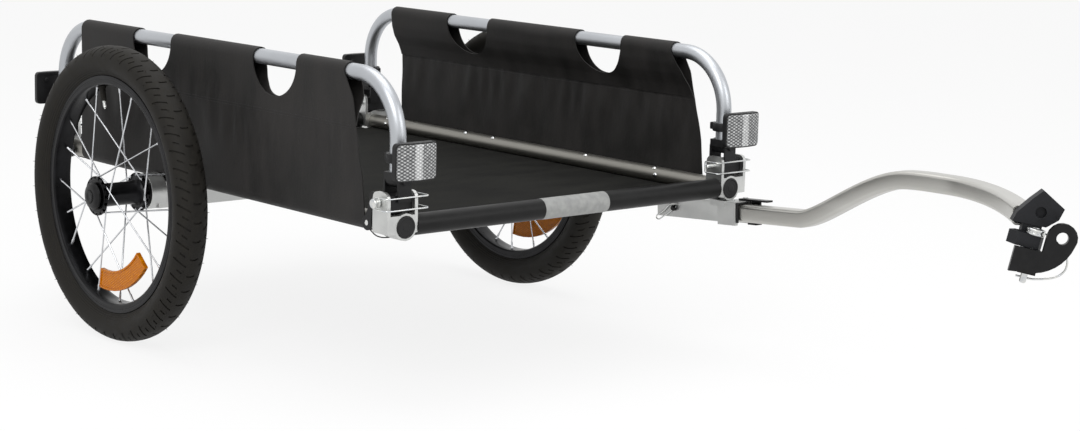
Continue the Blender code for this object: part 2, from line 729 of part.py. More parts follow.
def side_fabric(side, hinge):
    """Sleeve over the rail that closes at a seam, and the single layer below it down to the fold line."""
    name = "side_fabric_" + ("left" if side > 0 else "right")
    bottom = HINGE_Z + GAP
    outer = [(FABRIC_WRAP_RADIUS, bottom + (PANEL_SEAM_Z - bottom) * step / 4) for step in range(5)]
    outer += [(SLEEVE_RADIUS, (PANEL_SEAM_Z + RAIL_TOP_Z) / 2)]
    over = arc((0, RAIL_TOP_Z), SLEEVE_RADIUS, 0, math.pi, 6)
    inner_end = FABRIC_WRAP_RADIUS - FABRIC - GAP
    middle_z = (PANEL_SEAM_Z + RAIL_TOP_Z) / 2
    inner = [(SLEEVE_INNER_MIDDLE, middle_z), (inner_end, PANEL_SEAM_Z + SLEEVE_EDGE_RISE)]
    path = outer + over + inner

    def place(share, row):
        offset, z = path[row]
        x = PANEL_REAR_X + (panel_front_x(z) - PANEL_REAR_X) * share
        swell = gathers(x, z) if row < 5 else 0.0
        return Vector((x, side * (FLOOR_TUBE_Y + offset + swell), z))

    made = put(name, sheet(len(path) - 1, PANEL_COLUMNS[side], place), SIDE_CLOTH, hinge)
    holes = []
    for x in HAND_HOLE_X:
        outline = [
            (x + HAND_HOLE_HALF_WIDTH * math.cos(t), RAIL_TOP_Z + HAND_HOLE_DEPTH * math.sin(t))
            for t in [2 * math.pi * step / HAND_HOLE_STEPS[side] for step in range(HAND_HOLE_STEPS[side])]
        ]
        reach = (-side * (FLOOR_TUBE_Y - WASTE_REACH), -side * (FLOOR_TUBE_Y + WASTE_REACH))
        holes.append(plate(outline, *reach, (1, 0, 0), (0, 0, 1)))
    cut(made, *holes)
    return rounded(made, 50)


def post_reflector(end, side, hinge):
    """Lens housing on an arm from a band that clamps the post."""
    post_x, name = corner(end, side)
    y = side * FLOOR_TUBE_Y
    face = post_x + end * REFLECTOR_FACE_OFFSET
    back = face - end * REFLECTOR_THICKNESS
    band_z = (REFLECTOR_Z - REFLECTOR_BAND_HEIGHT / 2, REFLECTOR_Z + REFLECTOR_BAND_HEIGHT / 2)
    housing = box(
        (back, y - REFLECTOR_WIDTH / 2, REFLECTOR_Z - REFLECTOR_HEIGHT / 2),
        (face, y + REFLECTOR_WIDTH / 2, REFLECTOR_Z + REFLECTOR_HEIGHT / 2),
    )
    made = put("reflector_" + name, housing, CLEAR_LENS if end > 0 else RED_LENS, hinge)
    band = rod((post_x, y, band_z[0]), (post_x, y, band_z[1]), REFLECTOR_BAND_RADIUS, 16)
    arm = box(
        (post_x + end * RAIL_RADIUS, y - REFLECTOR_ARM_WIDTH / 2, band_z[0] + REFLECTOR_ARM_INSET),
        (back + end * REFLECTOR_ARM_SOCKET, y + REFLECTOR_ARM_WIDTH / 2, band_z[1] - REFLECTOR_ARM_INSET),
    )
    join(made, band, arm)
    low = (post_x, y, band_z[0] - CUT_OVERRUN)
    high = (post_x, y, band_z[1] + CUT_OVERRUN)
    cut(made, rod(low, high, RAIL_RADIUS + GAP, 16))
    return made


# Lock pins
def lock_pin(end, side):
    post_x, name = corner(end, side)
    head_start = EAR_OUTER_Y + EAR_THICKNESS / 2 + GAP
    tip = EAR_INNER_Y - EAR_THICKNESS / 2 - LOCK_PIN_TIP
    parent = empty("lock_pin_axis_" + name, (post_x, side * head_start, LOCK_PIN_Z), root)
    profile = [
        (0, tip), (LOCK_PIN_RADIUS - PIN_CHAMFER, tip), (LOCK_PIN_RADIUS, tip + PIN_CHAMFER),
        (LOCK_PIN_RADIUS, head_start), (LOCK_PIN_HEAD_RADIUS, head_start),
        (LOCK_PIN_HEAD_RADIUS, head_start + LOCK_PIN_HEAD_LENGTH - PIN_CHAMFER),
        (LOCK_PIN_HEAD_RADIUS - PIN_CHAMFER, head_start + LOCK_PIN_HEAD_LENGTH),
        (0, head_start + LOCK_PIN_HEAD_LENGTH),
    ]
    solid = turned(profile, (post_x, 0, LOCK_PIN_Z), (0, side, 0), 10)
    rounded(put("lock_pin_" + name, solid, ZINC, parent))
    return parent


def lock_bail(end, side, pin):
    """Wire that goes round the ears and over the pin's tip, and swings open at the pin's head."""
    post_x, name = corner(end, side)
    hinge_y = EAR_OUTER_Y + EAR_THICKNESS / 2 + GAP + LOCK_PIN_HEAD_LENGTH / 2
    run_x = post_x + end * (CASTING_FRONT + BAIL_CLEARANCE)
    tip_y = EAR_INNER_Y - EAR_THICKNESS / 2 - LOCK_PIN_TIP - GAP - BAIL_WIRE_RADIUS
    bend = BAIL_BEND
    ease = BAIL_BEND * (1 - math.cos(math.pi / 4))
    half = [
        (post_x, hinge_y),
        (run_x - end * bend, hinge_y),
        (run_x - end * ease, hinge_y - ease),
        (run_x, hinge_y - bend),
        (run_x, tip_y + bend),
        (run_x - end * ease, tip_y + ease),
        (run_x - end * bend, tip_y),
        (post_x + end * LOCK_PIN_RADIUS, tip_y),
    ]
    upper = [(x, side * y, LOCK_PIN_Z + BAIL_HALF_WIDTH) for x, y in half]
    lower = [(x, side * y, LOCK_PIN_Z - BAIL_HALF_WIDTH) for x, y in reversed(half)]
    turn = [(post_x, side * tip_y, LOCK_PIN_Z + z) for z in (BAIL_HALF_WIDTH / 2, -BAIL_HALF_WIDTH / 2)]
    solid = wire(upper + turn + lower, BAIL_WIRE_RADIUS)
    swing = empty("lock_bail_axis_" + name, (post_x, side * hinge_y, LOCK_PIN_Z), pin)
    return rounded(put("lock_bail_" + name, solid, ZINC, swing))


# Fabric bed
def floor_fabric():
    """Floor sheet that wraps under both floor tubes and stands up outside them as far as the fold line."""
    dip = (FRAME_TUBE_Z - FLOOR_Z) / FABRIC_WRAP_RADIUS
    inner_turn = math.pi + math.asin(dip)
    wrap = arc((FLOOR_TUBE_Y, FRAME_TUBE_Z), FABRIC_WRAP_RADIUS, 2 * math.pi, inner_turn, 8)
    bed = (FLOOR_TUBE_Y - FLOOR_EDGE_INSET, FLOOR_Z - FLOOR_DISH)
    left = [(FLOOR_TUBE_Y + FABRIC_WRAP_RADIUS, HINGE_Z - GAP), *wrap, bed]
    path = left + [(-y, z) for y, z in reversed(left)]
    rear = POST_REAR_X - CROSS_TUBE_SETBACK
    front = POST_FRONT_X + CROSS_TUBE_SETBACK
    start = rear + CROSS_TUBE_RADIUS + GAP
    length = front - CROSS_TUBE_RADIUS - GAP - start

    def place(share, row):
        y, z = path[row]
        return Vector((start + length * share, y, z))

    made = put("floor_fabric", sheet(len(path) - 1, 1, place), FLOOR_CLOTH, root)
    lip = FLOOR_TUBE_Y - FLOOR_LIP_INSET
    edge = FLOOR_TUBE_Y + WASTE_REACH
    notch = EAR_INNER_Y - FLOOR_NOTCH_INSET
    notch_end = lip + CUT_OVERRUN
    top = HINGE_Z + CUT_OVERRUN
    low = FRAME_TUBE_Z - WASTE_REACH
    front_casting = POST_FRONT_X - CASTING_BACK - CASTING_CLEARANCE
    rear_casting = POST_REAR_X + CASTING_BACK + CASTING_CLEARANCE
    outline = [
        (panel_front_x(HINGE_Z), top),
        (panel_front_x(FLOOR_Z), low),
        (POST_FRONT_X + WASTE_REACH, low),
        (POST_FRONT_X + WASTE_REACH, top),
    ]
    waste = []
    for side in (1, -1):
        waste.append(plate(outline, -side * lip, -side * edge, (1, 0, 0), (0, 0, 1)))
        waste.append(box((POST_REAR_X - WASTE_REACH, side * lip, low), (PANEL_REAR_X, side * edge, top)))
        waste.append(box((front_casting, side * notch, low), (front, side * notch_end, top)))
        waste.append(box((rear, side * notch, low), (rear_casting, side * notch_end, top)))
    cut(made, *waste)
    return made


# Axle beam with its wheel receivers
def axle_beam():
    top = FRAME_TUBE_Z - FABRIC_WRAP_RADIUS - FABRIC / 2 - GAP
    inner = FLOOR_TUBE_Y + FABRIC_WRAP_RADIUS + FABRIC / 2 + GAP
    end = inner + BEAM_SOCKET_OVERLAP
    beam = box((-BEAM_HALF_LENGTH, -end, BEAM_BOTTOM), (BEAM_HALF_LENGTH, end, top))
    made = put("axle_beam", beam, BLACK_PLASTIC, root)
    sockets = []
    bores = []
    for side in (1, -1):
        sockets.append(
            rod((0, side * inner, AXLE_Z), (0, side * RECEIVER_OUTER_Y, AXLE_Z), RECEIVER_RADIUS, 24)
        )
        bores.append(
            bore(
                (0, side * (RECEIVER_OUTER_Y - AXLE_INSERTION - AXLE_END_GAP), AXLE_Z),
                (0, side * (RECEIVER_OUTER_Y + CUT_OVERRUN), AXLE_Z),
                AXLE_RADIUS,
            )
        )
    join(made, *sockets)
    cut(made, *bores)
    return made


# Wheels
def tyre_profile():
    """Open casing: beads between the rim's flanges, sidewalls, and a rounded tread on the tyre's flats."""
    tread = WHEEL_RADIUS / math.cos(math.pi / WHEEL_STEPS)
    half = TYRE_WIDTH / 2
    bead = RIM_WIDTH / 2 - RIM_WALL - GAP
    seat = BEAD_SEAT_RADIUS + GAP
    over = RIM_FLANGE_RADIUS + 4 * GAP
    side = (over + WHEEL_RADIUS) / 2
    shoulder = tread - TYRE_WALL
    outer = [
        (seat, bead), (over, bead), (side, half), (shoulder, TYRE_SHOULDER), (tread, TYRE_CROWN),
    ]
    inner = [
        (shoulder, TYRE_CROWN - GAP), (side, half - TYRE_WALL), (seat, bead - TYRE_WALL),
    ]
    far_outer = [(r, -along) for r, along in reversed(outer)]
    far_inner = [(r, -along) for r, along in reversed(inner)]
    return outer + far_outer + far_inner + inner


def rim_profile():
    edge = RIM_WIDTH / 2
    half = [
        (RIM_INNER_RADIUS, edge - RIM_CHAMFER), (RIM_INNER_RADIUS + RIM_CHAMFER, edge),
        (RIM_FLANGE_RADIUS, edge), (RIM_FLANGE_RADIUS, edge - RIM_WALL), (BEAD_SEAT_RADIUS, edge - RIM_WALL),
    ]
    return half + [(r, -along) for r, along in reversed(half)]


def hub_profile():
    outer_face = FLANGE_SPACING / 2 + FLANGE_THICKNESS / 2
    inner_face = outer_face - FLANGE_THICKNESS
    end = outer_face + HUB_BOSS_LENGTH
    bore_corner = AXLE_RADIUS / math.cos(math.pi / HUB_STEPS) + RUNNING_GAP
    half = [
        (HUB_BARREL_RADIUS, inner_face), (FLANGE_RADIUS, inner_face), (FLANGE_RADIUS, outer_face),
        (HUB_BOSS_RADIUS, outer_face), (HUB_BOSS_RADIUS, end), (bore_corner, end),
    ]
    return half + [(r, -o) for r, o in reversed(half)]


def spokes(centre, way, phase):
    """The spokes of one flange, which touch where they are laced past each other."""
    step = 4 * math.pi / SPOKES_PER_FLANGE
    shapes = []
    for number in range(SPOKES_PER_FLANGE // 2):
        for lean in (1, -1):
            at_hub = phase + step * number + (step / 2 if lean < 0 else 0)
            at_rim = at_hub + lean * SPOKE_SWEEP
            inset = SPOKE_LACING if lean < 0 else 0
            head = Vector((SPOKE_HEAD_RADIUS, way * (SPOKE_FLANGE_OFFSET - inset), 0))
            nipple = Vector((SPOKE_END_RADIUS, way * (SPOKE_RIM_OFFSET - inset), 0))
            start = centre + Matrix.Rotation(-at_hub, 3, "Y") @ head
            end = centre + Matrix.Rotation(-at_rim, 3, "Y") @ nipple
            shapes.append(rod(start, end, SPOKE_RADIUS, 4))
    return shapes


def spoke_offset(radius):
    """How far outboard of the wheel's middle a spoke is where it passes the given radius."""
    across = SPOKE_HEAD_RADIUS * SPOKE_END_RADIUS * math.cos(SPOKE_SWEEP)
    square = SPOKE_HEAD_RADIUS**2 + SPOKE_END_RADIUS**2 - 2 * across
    linear = across - SPOKE_HEAD_RADIUS**2
    constant = SPOKE_HEAD_RADIUS**2 - radius**2
    share = (math.sqrt(linear**2 - square * constant) - linear) / square
    return SPOKE_FLANGE_OFFSET + (SPOKE_RIM_OFFSET - SPOKE_FLANGE_OFFSET) * share


def wheel(side):
    label = "left" if side > 0 else "right"
    centre = Vector((0, side * WHEEL_PLANE_Y, AXLE_Z))
    outwards = (0, side, 0)
    axis = empty("wheel_axis_" + label, centre, root)
    rounded(put("tyre_" + label, turned(tyre_profile(), centre, outwards, WHEEL_STEPS), RUBBER, axis))
    rounded(put("rim_" + label, turned(rim_profile(), centre, outwards, WHEEL_STEPS), BLACK_ALLOY, axis))
    rounded(put("hub_" + label, turned(hub_profile(), centre, outwards, HUB_STEPS), BLACK_ALLOY, axis))
    quarter = math.pi / SPOKES_PER_FLANGE
    for place, way, phase in (("outer", side, 0), ("inner", -side, quarter)):
        first, *others = spokes(centre, way, phase)
        join(put(f"spokes_{place}_{label}", first, SPOKE_STEEL, axis), *others)

    hub_end = FLANGE_SPACING / 2 + FLANGE_THICKNESS / 2 + HUB_BOSS_LENGTH
    receiver = RECEIVER_OUTER_Y - WHEEL_PLANE_Y
    inner_end = receiver - AXLE_INSERTION
    cap = hub_end + RUNNING_GAP
    cap_top = cap + AXLE_CAP_HEIGHT
    well = cap_top + BUTTON_PROUD - BUTTON_HEIGHT - BUTTON_TRAVEL - GAP
    profile = [
        (0, inner_end), (AXLE_RADIUS - PIN_CHAMFER, inner_end), (AXLE_RADIUS, inner_end + PIN_CHAMFER),
        (AXLE_RADIUS, receiver + GAP), (AXLE_COLLAR_RADIUS, receiver + GAP),
        (AXLE_COLLAR_RADIUS, -hub_end - RUNNING_GAP), (AXLE_RADIUS, -hub_end - RUNNING_GAP),
        (AXLE_RADIUS, cap), (AXLE_CAP_RADIUS, cap), (AXLE_CAP_RADIUS, cap + AXLE_CAP_RIM_HEIGHT),
        (AXLE_CAP_FACE_RADIUS, cap_top - CAP_CHAMFER), (BUTTON_RADIUS + GAP + PIN_CHAMFER, cap_top),
        (BUTTON_RADIUS + GAP, cap_top), (BUTTON_RADIUS + GAP, well), (0, well),
    ]
    rounded(put("wheel_axle_" + label, turned(profile, centre, outwards, HUB_STEPS), BLACK_STEEL, axis))
    press = cap_top + BUTTON_PROUD
    profile = [
        (0, press - BUTTON_HEIGHT), (BUTTON_RADIUS, press - BUTTON_HEIGHT),
        (BUTTON_RADIUS, press - CAP_CHAMFER), (BUTTON_FACE_RADIUS, press), (0, press),
    ]
    rounded(put("release_button_" + label, turned(profile, centre, outwards, 12), BLACK_PLASTIC, axis))

    low, high = WHEEL_REFLECTOR_RADII
    half = WHEEL_REFLECTOR_SPAN / 2
    start, end = WHEEL_REFLECTOR_ANGLE - half, WHEEL_REFLECTOR_ANGLE + half
    outline = arc((0, AXLE_Z), high, start, end, 10) + arc((0, AXLE_Z), low, end, start, 10)
    seat = spoke_offset(low) + SPOKE_RADIUS + GAP
    near = side * (WHEEL_PLANE_Y + seat)
    far = side * (WHEEL_PLANE_Y + seat + WHEEL_REFLECTOR_THICKNESS)
    lens = plate(outline, -near, -far, (1, 0, 0), (0, 0, 1))
    rounded(put("wheel_reflector_" + label, lens, AMBER_LENS, axis))


# Tow bar
def tilted(mesh):
    """Turns a shape drawn level at the tow pivot nose-up with the bar."""
    shift = Matrix.Translation(TOW_PIVOT)
    mesh.transform(shift @ Matrix.Rotation(-TOW_TILT, 4, "Y"))
    return mesh


def tow_receiver():
    """Channel that carries the pivot pin, with a thicker bracket at the front that the bar swings up into."""
    inside = BAR_HALF_WIDTH + BAR_CLEARANCE
    roof = BAR_HALF_HEIGHT + BAR_CLEARANCE
    outside = inside + CHANNEL_WALL
    bracket_side = inside + BRACKET_WALL
    skirt = -BAR_HALF_HEIGHT - CHANNEL_LIP
    deep = skirt - BRACKET_DROP
    body = tilted(box((-CHANNEL_BACK, -outside, skirt), (BRACKET_BACK + CHANNEL_WALL, outside, ROOF_TOP)))
    made = put("tow_receiver", body, CAST_ALUMINIUM, root)
    bracket = tilted(box((BRACKET_BACK, -bracket_side, deep), (BRACKET_FRONT, bracket_side, ROOF_TOP + GAP)))
    rivet_x = BRACKET_FRONT - LATCH_SEAT_LENGTH / 2
    head_z = LATCH_SEAT_Z + LATCH_THICKNESS + GAP
    shank_root = (rivet_x, LATCH_MIDDLE_Y, ROOF_TOP - CHANNEL_WALL / 2)
    head_base = (rivet_x, LATCH_MIDDLE_Y, head_z)
    head_top = (rivet_x, LATCH_MIDDLE_Y, head_z + LATCH_RIVET_HEAD_HEIGHT)
    shank = tilted(rod(shank_root, (rivet_x, LATCH_MIDDLE_Y, head_z + GAP), LATCH_RIVET_RADIUS, 12))
    head = tilted(rod(head_base, head_top, LATCH_RIVET_HEAD_RADIUS, 12))
    pad = box(
        (POST_FRONT_X - FOOT_HALF_LENGTH, FLOOR_TUBE_Y - PAD_HALF_WIDTH, TOW_PIVOT.z + ROOF_TOP),
        (POST_FRONT_X + CASTING_FRONT - GAP, FLOOR_TUBE_Y + PAD_HALF_WIDTH, FRAME_TUBE_Z - RING_RADIUS - GAP),
    )
    join(made, bracket, shank, head, pad)
    below = deep - CUT_OVERRUN
    behind = -CHANNEL_BACK - CUT_OVERRUN
    room = box((behind, -inside, below), (BRACKET_FRONT + CUT_OVERRUN, inside, roof))
    open_top = box((behind, -inside, 0), (CHANNEL_OPEN_TOP, inside, ROOF_TOP + CUT_OVERRUN))
    cut(made, tilted(room), tilted(open_top), tow_pin_hole())
    return made


def tow_pin_hole():
    reach = BAR_HALF_WIDTH + BAR_CLEARANCE + CHANNEL_WALL + CUT_OVERRUN
    return tilted(bore((0, -reach, 0), (0, reach, 0), TOW_PIN_RADIUS, 16))


def tow_latch():
    """Leaf spring riveted to the bracket's roof, with a lip under the bar and a tab to press above it."""
    seat = BRACKET_FRONT - LATCH_SEAT_LENGTH
    back = BRACKET_FRONT + GAP
    front = back + LATCH_LENGTH
    inner = LATCH_WEB_Y - LATCH_REACH
    outer = LATCH_WEB_Y + LATCH_THICKNESS
    leaf_top = LATCH_SEAT_Z + LATCH_THICKNESS
    lip = -BAR_HALF_HEIGHT - LATCH_LIP_DROP
    leaf = tilted(box((seat, inner, LATCH_SEAT_Z), (front + LATCH_TAB_REACH, outer, leaf_top)))
    made = put("tow_latch", leaf, BLACK_STEEL, root)
    web = box(
        (back, LATCH_WEB_Y, lip - LATCH_THICKNESS / 2),
        (front - JOIN_INSET, outer - JOIN_INSET, leaf_top - LATCH_THICKNESS / 2),
    )
    hook = box((back + JOIN_INSET, inner, lip - LATCH_THICKNESS), (front, outer, lip))
    join(made, tilted(web), tilted(hook))
    rivet_x = BRACKET_FRONT - LATCH_SEAT_LENGTH / 2
    low = (rivet_x, LATCH_MIDDLE_Y, LATCH_SEAT_Z - CUT_OVERRUN)
    high = (rivet_x, LATCH_MIDDLE_Y, leaf_top + CUT_OVERRUN)
    cut(made, tilted(bore(low, high, LATCH_RIVET_RADIUS, 12)))
    return made


def bar_route():
    """Points along the bar's centre. A knot has a place, a direction, two handles and the steps after it."""
    rise = Vector((1, 0, math.tan(TOW_TILT))).normalized()
    inwards = Vector((math.cos(TOW_BAR_END_YAW), math.sin(TOW_BAR_END_YAW), 0))
    knots = (
        (TOW_PIVOT - rise * BAR_HALF_HEIGHT, rise, 0.020, 0.020, 1),
        (TOW_BAR_STRAIGHT_END, rise, 0.020, 0.035, 6),
        (TOW_BAR_CREST, Vector((1, 0, 0.09)).normalized(), 0.062, 0.025, 2),
        (TOW_BAR_HOOK_START, Vector((1, 0, 0.015)).normalized(), 0.025, 0.062, 6),
        (TOW_BAR_END - inwards * TOW_BAR_LAST_STRAIGHT, inwards, 0.055, 0.005, 1),
        (TOW_BAR_END, inwards, 0.005, 0.005, 0),
    )
    route = [knots[0][0]]
    for (place, along, _, after, steps), (end, into, before, _, _) in zip(knots, knots[1:]):
        route += interpolate_bezier(place, place + along * after, end - into * before, end, steps + 1)[1:]
    return route


def tow_bar(pivot):
    """Rectangular tube: level through the receiver, up in an S, then hooked inwards to the bicycle."""
    curve = spline_curve("bar", bar_route())
    curve.twist_mode = "Z_UP"
    outline = rounded_rectangle(BAR_HALF_WIDTH, BAR_HALF_HEIGHT, TOW_BAR_CORNER)
    section = bpy.data.objects.new("section", spline_curve("section", outline, cyclic=True, dimensions="2D"))
    bpy.context.scene.collection.objects.link(section)
    curve.bevel_mode = "OBJECT"
    curve.bevel_object = section
    source = bpy.data.objects.new("bar", curve)
    skin = source.modifiers.new("wall", "SOLIDIFY")
    skin.thickness = TOW_BAR_WALL
    skin.offset = -1
    skin.use_even_offset = True
    solid = baked(source)
    bpy.data.objects.remove(section)
    made = put("tow_bar", solid, BAR_ALUMINIUM, pivot)
    cut(made, tow_pin_hole())
    return rounded(made, 40)


def rounded_rectangle(half_width, half_height, corner_radius):
    points = []
    for turn, (a, b) in enumerate(((1, 1), (-1, 1), (-1, -1), (1, -1))):
        centre = (a * (half_width - corner_radius), b * (half_height - corner_radius))
        points += arc(centre, corner_radius, turn * math.pi / 2, (turn + 1) * math.pi / 2, 2)
    return [(x, y, 0.0) for x, y in reversed(points)]


def tow_pivot_pin():
    """Pin through the channel and the bar, with its head outboard and its clip end inboard."""
    wall = BAR_HALF_WIDTH + BAR_CLEARANCE + CHANNEL_WALL
    axis = empty("tow_pin_axis", TOW_PIVOT, root)
    head = wall + GAP
    tip = -wall - TOW_PIN_END
    profile = [
        (0, tip), (TOW_PIN_RADIUS - PIN_CHAMFER, tip), (TOW_PIN_RADIUS, tip + PIN_CHAMFER),
        (TOW_PIN_RADIUS, head), (TOW_PIN_HEAD_RADIUS, head),
        (TOW_PIN_HEAD_RADIUS, head + TOW_PIN_HEAD_HEIGHT), (0, head + TOW_PIN_HEAD_HEIGHT),
    ]
    return rounded(put("tow_pivot_pin", turned(profile, TOW_PIVOT, (0, 1, 0), 16), BLACK_STEEL, axis))


# Hitch
def hitch_place():
    forwards, rightwards = Matrix.Rotation(TOW_BAR_END_YAW, 3, "Z").transposed()[:2]
    down = Vector((0, 0, -HITCH_PIN_BELOW))
    return TOW_BAR_END + forwards * HITCH_PIN_AHEAD + rightwards * HITCH_PIN_RIGHT + down


HITCH_PIN_AT = hitch_place()


def hitched(mesh):
    """Turns a shape drawn about the hitch pin (forwards, right, up) into its place."""
    mesh.transform(Matrix.Translation(HITCH_PIN_AT) @ HITCH_AXES.to_matrix().to_4x4())
    return mesh


def hitch_pin_hole(low, high):
    return hitched(bore((0, 0, low - CUT_OVERRUN), (0, 0, high + CUT_OVERRUN), HITCH_PIN_RADIUS, 16))


def flex_connector(bar):
    """Elastomer block on the end of the bar, with the lug that the hitch pin passes through."""
    back = -HITCH_PIN_AHEAD + GAP
    body = hitched(plate(BLOCK_OUTLINE, back, BLOCK_FRONT, (0, 1, 0), (0, 0, 1)))
    made = put("flex_connector", body, ELASTOMER, bar)
    lug = hitched(plate(LUG_OUTLINE, LUG_BOTTOM, LUG_TOP, (1, 0, 0), (0, 1, 0)))
    neck = hitched(box(NECK_LOW, NECK_HIGH))
    plug_width = BAR_HALF_WIDTH - TOW_BAR_WALL - PLUG_CLEARANCE
    plug_height = BAR_HALF_HEIGHT - TOW_BAR_WALL - PLUG_CLEARANCE
    plug = box((-PLUG_LENGTH, -plug_width, -plug_height), (PLUG_ROOT, plug_width, plug_height))
    plug.transform(Matrix.Translation(TOW_BAR_END) @ Matrix.Rotation(TOW_BAR_END_YAW, 4, "Z"))
    join(made, lug, neck, plug)
    recess = hitched(
        rod(
            (BLOCK_FRONT - BLOCK_RECESS_DEPTH, *BLOCK_RECESS),
            (BLOCK_FRONT + CUT_OVERRUN, *BLOCK_RECESS),
            BLOCK_RECESS_RADIUS,
            16,
        )
    )
    cut(made, recess, hitch_pin_hole(LUG_BOTTOM, LUG_TOP))
    return made


def plate_outline():
    """Ear round the axle hole, a keel that curves down from it, and a step for the arms on the left."""
    ear = arc(EAR_CENTRE, EAR_RADIUS, math.pi, EAR_END_ANGLE, 10)
    keel_radius = math.dist(KEEL_CENTRE, ear[-1])
    start = math.atan2(ear[-1][1] - KEEL_CENTRE[1], ear[-1][0] - KEEL_CENTRE[0])
    keel = arc(KEEL_CENTRE, keel_radius, start, KEEL_END_ANGLE, 7)[1:]
    keel = [(a, max(b, PLATE_BOTTOM)) for a, b in keel]
    shoulder = [(PLATE_LEFT, PLATE_BOTTOM), (PLATE_LEFT, PLATE_SHOULDER), (PLATE_STEP, PLATE_SHOULDER)]
    return shoulder + [(PLATE_STEP, EAR_CENTRE[1])] + ear[1:] + keel


def hitch_plate(hinge):
    """Forged plate that bolts to the bicycle's rear axle, with two arms round the hitch pin."""
    body = hitched(plate(plate_outline(), PLATE_BACK, PLATE_BACK + PLATE_THICKNESS, (0, 1, 0), (0, 0, 1)))
    made = put("hitch_plate", body, BLACK_STEEL, hinge)
    arms = []
    for low in (PLATE_SHOULDER - ARM_THICKNESS, PLATE_BOTTOM):
        arms.append(
            hitched(
                box(
                    (ARM_BACK, -ARM_HALF_WIDTH, low + JOIN_INSET),
                    (PLATE_BACK + ARM_ROOT, PLATE_STEP - JOIN_INSET, low + ARM_THICKNESS - JOIN_INSET),
                )
            )
        )
    join(made, *arms)
    hole_front = PLATE_BACK + PLATE_THICKNESS + CUT_OVERRUN
    hole_back = PLATE_BACK - CUT_OVERRUN
    hole = hitched(rod((hole_back, *EAR_CENTRE), (hole_front, *EAR_CENTRE), AXLE_HOLE_RADIUS, 24))
    cut(made, hitch_pin_hole(PLATE_BOTTOM, PLATE_SHOULDER), hole)
    return rounded(made)


def hitch_pin(hinge):
    head = LUG_TOP + GAP
    top = head + HITCH_PIN_HEAD_HEIGHT
    profile = [
        (0, HITCH_PIN_TIP), (HITCH_PIN_RADIUS - PIN_CHAMFER, HITCH_PIN_TIP),
        (HITCH_PIN_RADIUS, HITCH_PIN_TIP + PIN_CHAMFER), (HITCH_PIN_RADIUS, head),
        (HITCH_PIN_HEAD_RADIUS, head), (HITCH_PIN_HEAD_RADIUS, top - KNOB_CHAMFER),
        (HITCH_PIN_HEAD_RADIUS - KNOB_CHAMFER, top), (0, top),
    ]
    solid = hitched(turned(profile, (0, 0, 0), (0, 0, 1), 16))
    return rounded(put("hitch_pin", solid, ZINC, hinge))


def hitch_bail(hinge):
    """Wire pivoted beside the pin's head that loops down behind the plate and under the pin's tip."""
    plane = HITCH_BAIL_PLANE
    side_gap = GAP + JOIN_INSET + HITCH_BAIL_RADIUS
    head_edge = math.sqrt(HITCH_PIN_HEAD_RADIUS**2 - plane**2)
    root_at = (plane, head_edge + side_gap, LUG_TOP + GAP + HITCH_PIN_HEAD_HEIGHT / 2)
    behind = -HITCH_PIN_RADIUS - GAP - HITCH_BAIL_RADIUS
    points = [root_at] + [(plane, *point) for point in HITCH_BAIL_ROUTE]
    points += [(behind, across, HITCH_BAIL_ROUTE[-1][1]) for across in HITCH_BAIL_HOOK]
    solid = hitched(wire(points, HITCH_BAIL_RADIUS))
    at = HITCH_PIN_AT + HITCH_AXES.to_matrix() @ Vector(root_at)
    swing = empty("hitch_bail_axis", at, hinge)
    return rounded(put("hitch_bail", solid, ZINC, swing))


for left_or_right in (1, -1):
    floor_tube(left_or_right)
    end_cap(left_or_right)
    wheel(left_or_right)
for front_or_rear in (1, -1):
    cross_tube(front_or_rear)
for end, side in CORNERS:
    casting(end, side)
    rail_foot(end, side)
    lock_bail(end, side, lock_pin(end, side))
for side in (1, -1):
    folding = side_hinge(side)
    rail(side, folding)
    side_fabric(side, folding)
    for end in (1, -1):
        knuckle(end, side, folding)
        post_reflector(end, side, folding)
floor_fabric()
axle_beam()
tow_receiver()
tow_latch()
tow_pivot_pin()
bar_pivot = empty("tow_bar_axis", TOW_PIVOT, root)
tow_bar(bar_pivot)
flex_connector(bar_pivot)
hitch_axis = empty("hitch_axis", HITCH_PIN_AT, bar_pivot)
hitch_plate(hitch_axis)
hitch_pin(hitch_axis)
hitch_bail(hitch_axis)


def centre_footprint():
    """Moves the whole trailer so that the middle of its footprint is the origin."""
    bpy.context.view_layer.update()
    graph = bpy.context.evaluated_depsgraph_get()
    low = Vector((math.inf, math.inf))
    high = Vector((-math.inf, -math.inf))
    for piece in trailer.objects:
        if piece.type != "MESH":
            continue
        solid = piece.evaluated_get(graph)
        for place in (solid.matrix_world @ Vector(point) for point in solid.bound_box):
            low = Vector(map(min, low, place.xy))
            high = Vector(map(max, high, place.xy))
    middle = (low + high) / 2
    root.location.x = -middle.x
    root.location.y = -middle.y


centre_footprint()
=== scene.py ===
"""Flatbed bicycle trailer: finishes, cloth and turned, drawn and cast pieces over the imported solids."""

import math

import bmesh
import bpy
from mathutils import Matrix, Vector
from mathutils.geometry import interpolate_bezier


